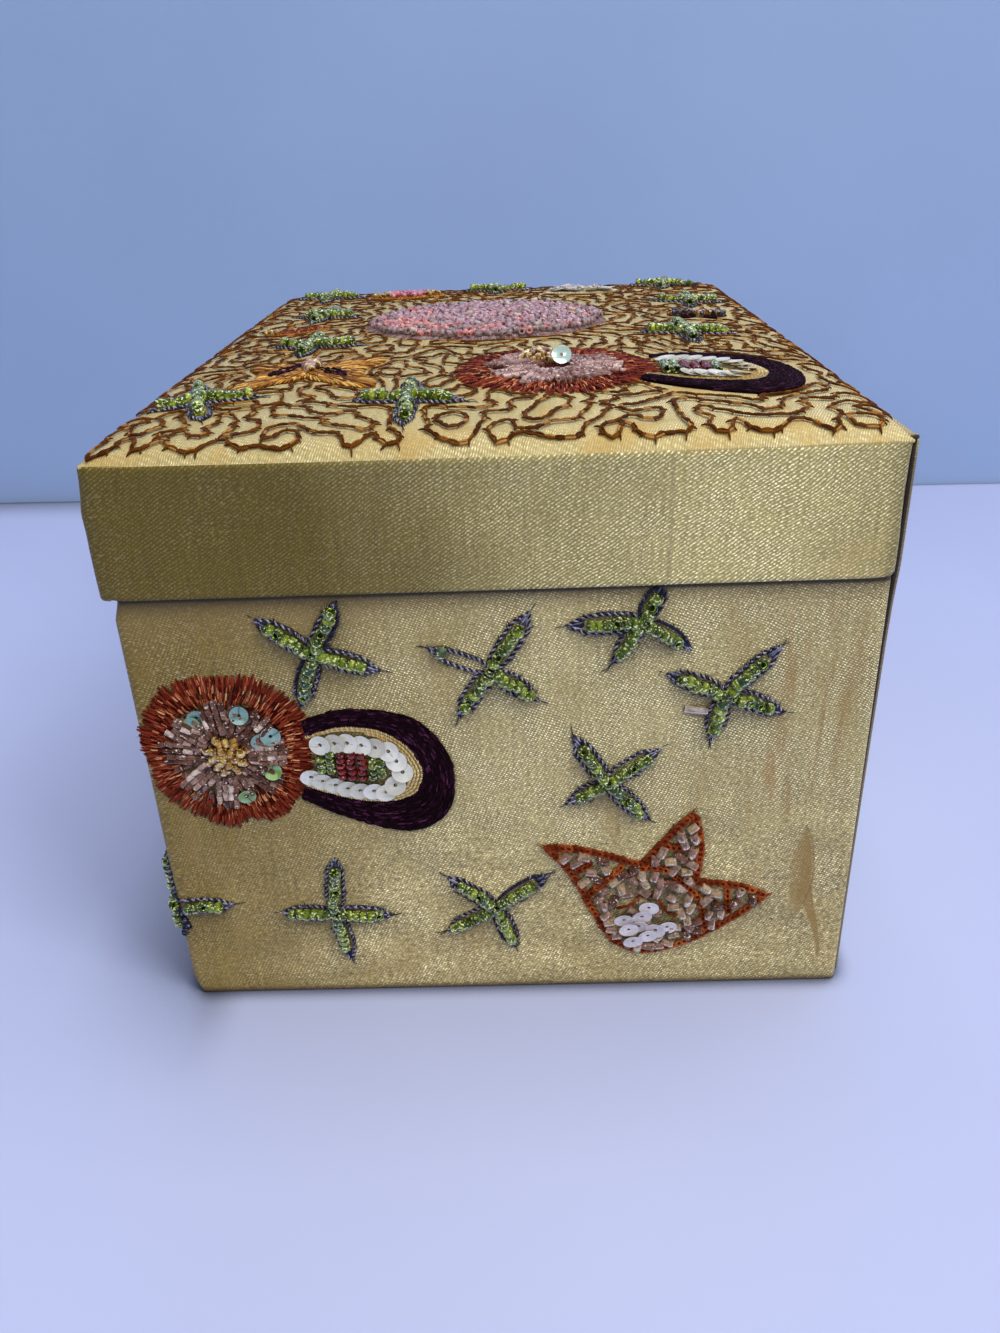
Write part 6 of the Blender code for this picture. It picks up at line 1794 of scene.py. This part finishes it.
# ------------------------------------------------------------------ the lid's other figures
def butterfly():
    g = np.random.default_rng(17)
    b = Buf()
    rot = lambda x, y: (BF_C[0] + x, BF_C[1] + y)
    wings = (((-0.6, 5.8), (-7.2, 12.0), (-13.5, 13.7), (-15.4, 9.7), (-12.4, 2.8), (-10.8, -0.8), (-0.8, 0.5)),
             ((-0.6, 1.6), (-10.8, 0.2), (-12.4, -3.8), (-15.4, -10.0), (-13.8, -14.6), (-7.0, -9.6), (-0.4, -4.0)),
             ((0.2, -4.0), (6.6, -10.2), (15.4, -16.2), (16.6, -12.0), (13.4, -5.0), (11.6, -0.6), (1.2, 0.8)),
             ((1.2, 0.2), (11.6, -1.2), (13.0, 3.2), (16.4, 10.4), (14.2, 14.6), (7.4, 11.8), (1.0, 5.8)))
    spots = (((-2.6, 8.4), (-8.4, -2.2)), ((2.2, 3.4), (9.4, -5.8)))
    for W_ in wings:
        P = spline([rot(x, y) for x, y in W_], True, 0.45)
        r0 = np.array(rot(0.0, 0.6))
        fan_patch(b, on_top, resample(P, 0.9, True), P.mean(0), 0.1, 0.34, 0, 0.25)
        n = len(P)
        for layer in range(4):
            f1 = (0.97 + 0.07 * g.random(n)) - 0.21 * layer
            f0 = np.maximum(f1 - (0.24 + 0.16 * g.random(n)), 0.04)
            A, B = r0 + (P - r0) * f0[:, None], r0 + (P - r0) * f1[:, None]
            ok = (np.linalg.norm(B - A, axis=1) > 0.8) & (g.random(n) < 0.85)
            A, B = A[ok] + g.normal(0, 0.08, (ok.sum(), 2)), B[ok]
            tn = np.where(g.random(len(A)) < 0.32, 0.2 * g.random(len(A)), 0.45 + 0.55 * g.random(len(A)))
            stitches(b, on_top, A, B, 0.2, 0.2, 0.50 + 0.07 * layer, 0, jit=0.22, tint=tn)
    for (p0_, p1_) in spots:
        p0_, p1_ = np.array(rot(*p0_)), np.array(rot(*p1_))
        ax = (p1_ - p0_) / np.linalg.norm(p1_ - p0_)
        sd_ = np.array([-ax[1], ax[0]])
        q = 60
        t_ = g.random((q, 1))
        wd = 2.0 * np.sin(pi * (0.08 + 0.84 * t_)) ** 0.7 * (2 * g.random((q, 1)) - 1)
        M_ = p0_ + (p1_ - p0_) * t_ + sd_ * wd
        ln = 0.7 + 0.5 * g.random((q, 1))
        stitches(b, on_top, M_ - ax * ln, M_ + ax * ln, 0.24, 0.5, 0.95, 1, jit=0.12)
    for q in range(16):
        x, y = 0.3 + g.normal(0, 0.9), -1.0 + 9.5 * q / 15
        put(b, SEED_S, on_top, *rot(x, y), 1.35 + 0.3 * g.random(), g.random() * 6, g.normal(0, 0.4), 0, 1.12, 2 if q % 2 else 4, 0.5 + 0.5 * g.random())
    ob = make("butterfly_lid", b, [M_orange, M_purple, M_rose_b, M_pink_in, M_gold_b, M_gold_in])
    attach(ob, "lid")
    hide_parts("lid_butterfly")


butterfly()


def oval():
    """A cushion of pink beads with clusters of deeper pink, edged with dusty thread and dotted with bright cups."""
    g = np.random.default_rng(19)
    b = Buf()
    c = np.array([-3.0, 12.5])
    fan_patch(b, on_top, resample(OVAL, 1.6, True), c, 0.15, 0.9, 4, 0.6, 12)
    o = resample(OVAL, 0.42, True)
    n = len(o)
    for layer in range(2):
        f1 = 1.0 - 0.012 * layer + 0.02 * g.random(n)
        f0 = f1 - 0.10 - 0.05 * g.random(n)
        ok = g.random(n) < 0.85
        stitches(b, on_top, (c + (o - c) * f0[:, None])[ok], (c + (o - c) * f1[:, None])[ok], 0.2, 0.14, 0.5, 4, jit=0.14)
    t = radians(-10)
    pts = []
    tries = 0
    cell = {}
    while tries < 26000:
        tries += 1
        r_, a = sqrt(g.random()) * 0.975, g.random() * TAU
        x, y = 32.2 * r_ * cos(a), 29.2 * r_ * sin(a)
        p = (c[0] + x * cos(t) - y * sin(t), c[1] + x * sin(t) + y * cos(t))
        kx, ky = int(p[0] // 1.7), int(p[1] // 1.7)
        bad = False
        for i in (-1, 0, 1):
            for j in (-1, 0, 1):
                for q in cell.get((kx + i, ky + j), ()):
                    if (q[0] - p[0]) ** 2 + (q[1] - p[1]) ** 2 < 1.62 ** 2:
                        bad = True
        if bad:
            continue
        cell.setdefault((kx, ky), []).append(p)
        pts.append(p)
    px_, py_ = np.array([p[0] for p in pts]), np.array([p[1] for p in pts])
    blob = lambda x, y, a, b2: np.exp(-((px_ - x) / a) ** 2 - ((py_ - y) / b2) ** 2)
    warm = 1.1 * blob(-25, 2, 8, 15) + blob(-12, -12, 11, 6) + 0.9 * blob(14, -9, 10, 4.5) + 0.35 * smooth_noise(px_, py_, 14, 31)
    tpl = bugle(0.62, 0.8, 0.25, 7)
    sd = seed(0.9, 0.62, 0.3, 8, 9)
    rel = np.hypot((px_ - c[0]) / 32.2, (py_ - c[1]) / 29.2)
    dust = (rel + 0.05 * smooth_noise(px_, py_, 9, 33) > 0.90) | (smooth_noise(px_, py_, 11, 35) + 0.02 * (py_ - 12) * -1 > 0.75)
    for p, w_, du_ in zip(pts, warm, dust):
        m_ = (2 if w_ + 0.2 * g.normal() > 0.42 else 6) if not (du_ and g.random() < 0.8) else 10
        use = tpl if g.random() < 0.4 else sd
        put(b, use, on_top, p[0], p[1], 1.2 + 0.5 * g.random(), g.random() * 6, g.normal(0, 0.3), g.random(), 1.1, m_, 0.3 + 0.4 * g.random())
    for q in range(12):
        p = pts[int(g.random() * len(pts))]
        put(b, CUT, on_top, p[0], p[1], 2.2, g.random() * 6, 0.4 * g.normal(), g.random(), (0.9, 1.0, 1.0), 8, 1.0)
    ob = make("bead_oval_lid", b, [M_pink, M_pink_in, M_coral, M_coral, M_dusty, M_pearl, M_lilac, M_lilac, M_clear, M_pink_in, M_rim, M_rim], sharp=50)
    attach(ob, "lid")
    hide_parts("lid_bead_oval")


M_coral = glass("coral_glass", [(0.0, (0.50, 0.15, 0.13)), (0.5, (0.60, 0.24, 0.21)), (1.0, (0.66, 0.36, 0.34))], trans=0.15, coat=0.1, spec=0.14)
M_dusty = thread("dusty_thread", [(0.0, (0.24, 0.145, 0.14)), (0.6, (0.36, 0.235, 0.24)), (1.0, (0.50, 0.36, 0.37))])
oval()


def leaf_fill(b, S, outline, axis, m, tint=None, layers=2, g=None):
    """Slanting satin stitches from a middle line to the edge."""
    o = resample(outline, 0.4, True)
    c = o.mean(0)
    a = radians(axis)
    d = np.array([cos(a), sin(a)])
    x = (o - c) @ d
    fan_patch(b, S, resample(outline, 0.9, True), c, 0.1, 0.34, m, 0.4)
    for layer in range(layers):
        mid_ = c + d * (x * 0.9 + 0.8)[:, None] + g.normal(0, 0.1, (len(o), 2))
        ok = np.linalg.norm(o - mid_, axis=1) > 0.6
        stitches(b, S, mid_[ok], o[ok], 0.2, 0.22, 0.46 + 0.08 * layer, m, jit=0.12)


def small_leaf():
    g = np.random.default_rng(23)
    b = Buf()
    leaf_fill(b, on_top, LEAF, 14, 0, g=g)
    twist(b, on_top, LEAF, 0.15, 0.14, 1.2, 0.36, (1, 1), 6, True)
    for q in range(3):
        put(b, SEED_S, on_top, -63.5 + 1.6 * q, 9.6 - 0.1 * q, 1.0, 0.2, 0, 0, 1.0, 2, g.random())
    ob = make("small_leaf_lid", b, [M_rust, M_orange, M_gold_b, M_gold_in])
    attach(ob, "lid")
    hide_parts("lid_small_leaf")


def cluster():
    g = np.random.default_rng(29)
    b = Buf()
    c = np.array([-30.5, 79.0])
    leaf_fill(b, on_top, CLUSTER, -6, 4, g=g)
    twist(b, on_top, CLUSTER, 0.16, 0.15, 1.2, 0.36, (4, 4), 6, True)
    for q in range(120):
        a, r_ = g.random() * TAU, sqrt(g.random())
        x, y = 11.0 * r_ * cos(a), 5.2 * r_ * sin(a)
        m_ = 2 if abs(x) > 6.2 else 0
        put(b, SEED_S, on_top, c[0] + x, c[1] + y, 1.15 + 0.5 * (1 - r_) * g.random(), g.random() * 6, g.normal(0, 0.4), 0, 0.98, m_, g.random())
    ob = make("bead_cluster_lid", b, [M_red2, M_red_in, M_gold_b, M_gold_in, M_orange])
    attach(ob, "lid")
    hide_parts("lid_bead_cluster")


M_plum = glass("plum_glass", [(0.0, (0.012, 0.004, 0.010)), (1.0, (0.06, 0.028, 0.055))], trans=0.1, coat=0.4)
M_red2 = glass("rose_glass", [(0.0, (0.42, 0.05, 0.07)), (0.6, (0.62, 0.12, 0.14)), (1.0, (0.80, 0.34, 0.32))], trans=0.3)
small_leaf()
cluster()


def spray():
    g = np.random.default_rng(37)
    b = Buf()
    c = np.array([27.0, 74.0])
    leaf_fill(b, on_top, SPRAY, 8, 3, g=g)
    twist(b, on_top, SPRAY, 0.16, 0.15, 1.2, 0.36, (2, 2), 6, True)
    for q in range(34):
        a, r_ = g.random() * TAU, sqrt(g.random())
        x, y = 9.6 * r_ * cos(a), 4.8 * r_ * sin(a)
        sequin(b, on_top, c[0] + x, c[1] + y, 1.0 + 0.35 * g.random(), g.random() * 6, g.normal(0, 0.2), 1.9, 0, g.random(), 4)
    for q in range(18):
        a, r_ = g.random() * TAU, sqrt(g.random())
        put(b, BUGLE, on_top, c[0] + 9.5 * r_ * cos(a), c[1] + 5 * r_ * sin(a), 1.75, g.random() * 6, 0.2, 0, 1.0, 5, 0.9)
    ob = make("sequin_spray_lid", b, [M_white, M_pearl, M_zari, M_cream, M_navy, M_pink, M_pink_in], sharp=50)
    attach(ob, "lid")
    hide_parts("lid_sequin_spray")


def sprig():
    g = np.random.default_rng(43)
    b = Buf()
    c = np.array([55.5, 15.0])
    for k_, (dx, dy, a) in enumerate(((-5.6, 1.2, 160), (-2.4, 2.6, 110), (2.2, 2.2, 60), (5.8, 0.2, 5), (3.0, -2.4, -50), (-3.0, -2.4, -140))):
        l = ring(c[0] + dx * 0.86, c[1] + dy * 0.9, 2.9, 1.35, a, 40)
        leaf_fill(b, on_top, l, a, 0, g=g, layers=1)
    twist(b, on_top, spline([(c[0] - 6, c[1] - 0.5), (c[0], c[1] + 0.3), (c[0] + 6.4, c[1] - 0.4)], False, 0.4), 0.18, 0.17, 1.2, 0.6, (0, 1), 6)
    for q in range(30):
        put(b, SEED_S, on_top, c[0] - 7.5 + 15 * g.random(), c[1] + g.normal(0, 2.0), 1.3, g.random() * 6, 0.2, 0, 0.95, 2 if q % 5 < 2 else 4, g.random())
    ob = make("dark_sprig_lid", b, [M_purple, M_orange, M_gold_b, M_gold_in, M_plum, M_plum])
    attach(ob, "lid")
    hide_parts("lid_dark_sprig")


spray()
sprig()

# ------------------------------------------------------------------ hinge cloth and the panel's covering, one length of satin
def bake(ob):
    """Makes the modifiers part of the mesh."""
    bpy.context.view_layer.update()
    dg = bpy.context.evaluated_depsgraph_get()
    me = bpy.data.meshes.new_from_object(ob.evaluated_get(dg), preserve_all_data_layers=True, depsgraph=dg)
    ob.modifiers.clear()
    ob.data = me
    return ob


def hinge_satin():
    out = lambda z: 76.1 + 0.4 * z / 129.0 + 0.9
    prof = [(74.9, 128.62, 0.0), (75.6, 128.86, 0.0), (76.2, 129.02, 0.0), (76.75, 129.12, 0.0), (77.2, 129.08, 0.0), (77.55, 128.86, 0.1),
            (77.76, 128.45, 0.3), (77.86, 127.9, 0.6), (out(127.0) + 0.5, 127.0, 1.0)]
    prof += [(out(z) + 0.5, z, 1.0) for z in np.r_[np.linspace(125.5, 1.4, 78), 0.7, 0.35]]
    prof += [(out(0.0) + 0.15, 0.12, 1.0)]
    # across: folded round the card at both ends
    fold = [(-96.0, -1.42), (-97.0, -1.46), (-97.58, -1.3), (-97.72, -0.75), (-97.65, -0.25), (-97.4, -0.04)]
    ys = fold + [(y, 0.0) for y in np.linspace(-96.2, 96.2, 112)] + [(-a, b_) for a, b_ in fold[::-1]]
    Yc = np.array([y for y, d in ys])[None, :]
    D = np.array([d for y, d in ys])[None, :]
    x, z, f = [np.array(c)[:, None] for c in zip(*prof)]
    spread = 1 + (1 - f) * 0.034
    wide = 1 + np.interp(z, [30, 60, 87, 96, 104], [0, 0.004, 0.009, 0.014, 0.025])      # fuller towards the skirt
    X = x + D * f + 0 * Yc
    Y = np.where(f < 0.5, np.sign(Yc) * np.minimum(np.abs(Yc) * spread, 101.0), Yc * wide)
    Z = z + 0 * Yc
    face = (np.abs(Yc) < 96.6) & (z < 124) & (z > 1.5)
    sm = np.clip(np.minimum((124 - z) / 10, (z - 1.5) / 5), 0, 1) * np.clip((96.6 - np.abs(Yc)) / 6, 0, 1)
    wv = 0.10 * smooth_noise(Y, Z, 30, 61) + 0.07 * smooth_noise(Y * 0.4, Z * 1.6, 14, 62) - 0.06
    X = X + np.where(face, np.minimum(wv, 0.11) * sm, 0)
    b = Buf()
    b.add(np.stack([X, Y, Z], -1).reshape(-1, 3), grid_faces(len(prof), len(ys))[:, ::-1])
    run = np.r_[0, np.cumsum(np.hypot(np.diff(x[:, 0]), np.diff(z[:, 0])))][:, None]
    st = np.stack([Yc + 0 * run, 130 - run + 0 * Y, 0 * Y], -1).reshape(-1, 3)
    return make("hinge_satin", b, [M_panel], st=st)


ob = hinge_satin()
solidify(ob, 0.28, -1.0)
bake(ob)
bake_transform(ob)
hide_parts("hinge_panel_cover", "hinge_cloth")


# ------------------------------------------------------------------ the inside: lined cards, floor pad, lid lining, wadding, underside
def slab(name, P, eu, ev, nrm, thick, puff, mat, seed_, cell=3.0, crease=0.12, rim=0.35, grow=9.0):
    """A covered card or flat pad: back face on the corner P with edges eu and ev, front puffed along nrm, edges rounded."""
    P, eu, ev, nrm = [np.asarray(a, float) for a in (P, eu, ev, nrm)]
    lu, lv = np.linalg.norm(eu), np.linalg.norm(ev)
    e = np.array([0.0, 0.25, 0.7, 1.4, 2.4])
    tu = np.r_[e, np.linspace(4, lu - 4, max(int(lu / cell), 3)), (lu - e)[::-1]]
    tv = np.r_[e, np.linspace(4, lv - 4, max(int(lv / cell), 3)), (lv - e)[::-1]]
    A, B = np.meshgrid(tu, tv)
    d = np.minimum.reduce([A, lu - A, B, lv - B])
    dome = (1 - np.exp(-d / grow))
    rnd = -rim * np.exp(-d / 0.5)
    wr = crease * smooth_noise(A, B, 24, seed_) * np.clip(d / 6, 0, 1)
    tug = 0.10 * np.exp(-d / 5.0) * np.cos(TAU * (A + B) / (9 + 3 * np.sin(A * 0.07 + seed_))) * np.clip(d / 1.5, 0, 1)
    h = thick + puff * dome + rnd + wr + tug * min(puff, 1.0)
    U, V_ = eu / lu, ev / lv
    top = P + A[..., None] * U + B[..., None] * V_ + h[..., None] * nrm
    bot = P + A[..., None] * U + B[..., None] * V_
    ni, nj = A.shape
    F = grid_faces(ni, nj)
    if np.dot(np.cross(U, V_), nrm) < 0:
        F = F[:, ::-1]
    loop = [(0, j) for j in range(nj)] + [(i, nj - 1) for i in range(1, ni)] + [(ni - 1, j) for j in range(nj - 2, -1, -1)] + [(i, 0) for i in range(ni - 2, 0, -1)]
    idx = np.array([i * nj + j for i, j in loop])
    nx_ = np.roll(idx, -1)
    o2 = ni * nj
    R_ = np.stack([idx, idx + o2, nx_ + o2, nx_], -1)
    if np.dot(np.cross(U, V_), nrm) < 0:
        R_ = R_[:, ::-1]
    b = Buf()
    b.add(np.concatenate([top.reshape(-1, 3), bot.reshape(-1, 3)]), np.vstack([F, F[:, ::-1] + o2, R_]))
    st = np.stack([A, B, 0 * A], -1).reshape(-1, 3)
    return make(name, b, [mat], sharp=70, st=np.vstack([st, st]))


def corners_of(node, axis, sign):
    """The four corners of a lined card's back face, low to high, from the frame."""
    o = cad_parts[node]
    V_ = np.array([v.co for v in o.data.vertices]) * 1000.0
    other = 1 - axis
    got = {}
    for a_ in (0, 1):
        for z_ in (0, 1):
            m_ = np.ones(len(V_), bool)
            za, aa = V_[:, 2], V_[:, other]
            m_ &= np.abs(za - (za.min() if z_ == 0 else za.max())) < 0.05
            near = V_[m_]
            aa = near[:, other]
            near = near[np.abs(aa - (aa.min() if a_ == 0 else aa.max())) < 0.3]
            got[a_, z_] = near[np.argmax(near[:, axis] * -sign)]
    return got


for node, axis, sign, sd_ in (("lining_left", 0, 1, 71), ("lining_right", 0, -1, 72), ("lining_front", 1, 1, 73), ("lining_back", 1, -1, 74)):
    c_ = corners_of(node, axis, sign)
    nrm = np.zeros(3)
    nrm[axis] = sign
    ob = slab(node + "_satin", c_[0, 0], c_[1, 0] - c_[0, 0], c_[0, 1] - c_[0, 0], nrm, 0.6, 0.35, M_lining, sd_)
    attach(ob, "base")
    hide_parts(node)

lo_, hi_ = [np.array(a) * 1000 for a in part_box("lid_lining")]
ob = slab("lid_lining_satin", (lo_[0], lo_[1], hi_[2]), (hi_[0] - lo_[0], 0, 0), (0, hi_[1] - lo_[1], 0), (0, 0, -1), 0.38, 1.0, M_lining, 75, 3.4, 0.16, 0.2, 14.0)
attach(ob, "lid")
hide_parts("lid_lining")

lo_, hi_ = [np.array(a) * 1000 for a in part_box("base_underside")]
ob = slab("underside_cloth_sheet", (lo_[0], lo_[1], hi_[2]), (hi_[0] - lo_[0], 0, 0), (0, hi_[1] - lo_[1], 0), (0, 0, -1), hi_[2] - lo_[2] - 0.06, 0.0, M_under, 76, 4.0, 0.02, 0.1, 14.0)
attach(ob, "base")
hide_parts("base_underside")


def floor_pad():
    """A soft pad between the lined cards. Its cover is let out by the filling."""
    lo, hi = [np.array(a) * 1000 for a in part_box("floor_pad")]
    w_, l_ = hi[0] - lo[0], hi[1] - lo[1]
    ob = slab("floor_pad_satin", (lo[0], lo[1], lo[2]), (w_, 0, 0), (0, l_, 0), (0, 0, 1), (hi[2] - lo[2]) * 0.62, 1.3, M_pad, 77, 4.2, 0.22, 0.9, 12.0)
    rest = np.array([v.co for v in ob.data.vertices])
    bpy.context.view_layer.objects.active = ob
    md = ob.modifiers.new("filling", "CLOTH")
    st = md.settings
    st.quality = 5
    st.mass = 0.2
    st.tension_stiffness = 12
    st.compression_stiffness = 12
    st.shear_stiffness = 6
    st.bending_stiffness = 0.4
    st.use_pressure = True
    st.uniform_pressure_force = 4.0
    st.effector_weights.gravity = 0.0
    vg = ob.vertex_groups.new(name="held")
    low = [i for i, v in enumerate(rest) if v[2] < lo[2] * MM + 1e-5]
    vg.add(low, 1.0, "REPLACE")
    st.vertex_group_mass = "held"
    sc = bpy.context.scene
    for f_ in range(1, 21):
        sc.frame_set(f_)
    dg = bpy.context.evaluated_depsgraph_get()
    ev = ob.evaluated_get(dg)
    co = np.array([v.co for v in ev.data.vertices])
    ob.modifiers.clear()
    ob.vertex_groups.clear()
    sc.frame_set(1)
    mv = np.clip(co - rest, -0.9 * MM, 0.9 * MM)
    co = rest + mv
    co[:, 0] = np.clip(co[:, 0], lo[0] * MM, hi[0] * MM)
    co[:, 1] = np.clip(co[:, 1], lo[1] * MM, hi[1] * MM)
    co[:, 2] = np.clip(co[:, 2], lo[2] * MM, (hi[2] + 1.2) * MM)
    ob.data.vertices.foreach_set("co", co.astype(np.float32).ravel())
    ob.data.update()
    m = ob.modifiers.new("finer", "SUBSURF")
    m.levels = m.render_levels = 1
    return bake(ob)


M_pad = satin("satin_pad", (0.52, 0.42, 0.19), (0.44, 0.34, 0.14), (0.76, 0.68, 0.44), gain=0.6, bump=0.00004, rough=0.36, sheen=0.12)
ob = floor_pad()
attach(ob, "base")
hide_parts("floor_pad")

k = Mat("wadding")
o = k.obj()
fib = k.noise(k.vmul(o, (1.0, 0.3, 1.0)), 1.1, 5.0, 0.75, 1.5)
k.color(k.ramp(fib, [(0.3, (0.50, 0.48, 0.44)), (0.7, (0.80, 0.79, 0.75))]))
k.rough(k.rng(fib, 0.3, 0.7, 1.0, 0.85)).normal(k.bump(fib, 0.0006, 0.9))
k.set(Subsurface_Weight=0.15, Subsurface_Scale=0.002)
M_wad = k.m


def wadding():
    xs = np.r_[-74.3, -73.6, -72.6, np.linspace(-71, 71, 48), 72.6, 73.6, 74.3]
    ys = np.r_[-100.8, -100.0, -99.0, np.linspace(-97, 97, 64), 99.0, 100.0, 100.8]
    X, Y = np.meshgrid(xs, ys)
    d = np.minimum(74.3 - np.abs(X), 100.8 - np.abs(Y))
    Z = LID_Z + 0.92 * crown(X, Y) - 0.98 + 0.16 * smooth_noise(X, Y, 13, 81) * np.clip(d / 5, 0, 1)
    Z = np.where(d < 0.2, 128.7, Z)
    top = np.stack([X, Y, Z], -1).reshape(-1, 3)
    bot = np.stack([X, Y, 0 * X + 128.3], -1).reshape(-1, 3)
    ni, nj = X.shape
    F = grid_faces(ni, nj)
    loop = [(0, j) for j in range(nj)] + [(i, nj - 1) for i in range(1, ni)] + [(ni - 1, j) for j in range(nj - 2, -1, -1)] + [(i, 0) for i in range(ni - 2, 0, -1)]
    idx = np.array([i * nj + j for i, j in loop])
    b = Buf()
    b.add(np.concatenate([top, bot]), np.vstack([F, F[:, ::-1] + ni * nj, np.stack([idx, idx + ni * nj, np.roll(idx, -1) + ni * nj, np.roll(idx, -1)], -1)]))
    return make("lid_wadding", b, [M_wad])


ob = wadding()
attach(ob, "lid")
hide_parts("lid_padding")

# ------------------------------------------------------------------ cards and the remaining nodes
for n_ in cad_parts:
    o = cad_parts[n_]
    if n_.endswith("_board"):
        m_ = M_card
    elif n_ == "base_underside":
        m_ = M_under
    elif "lining" in n_ or n_ == "floor_pad":
        m_ = M_lining
    else:
        m_ = M_panel
    o.data.materials.clear()
    o.data.materials.append(m_)
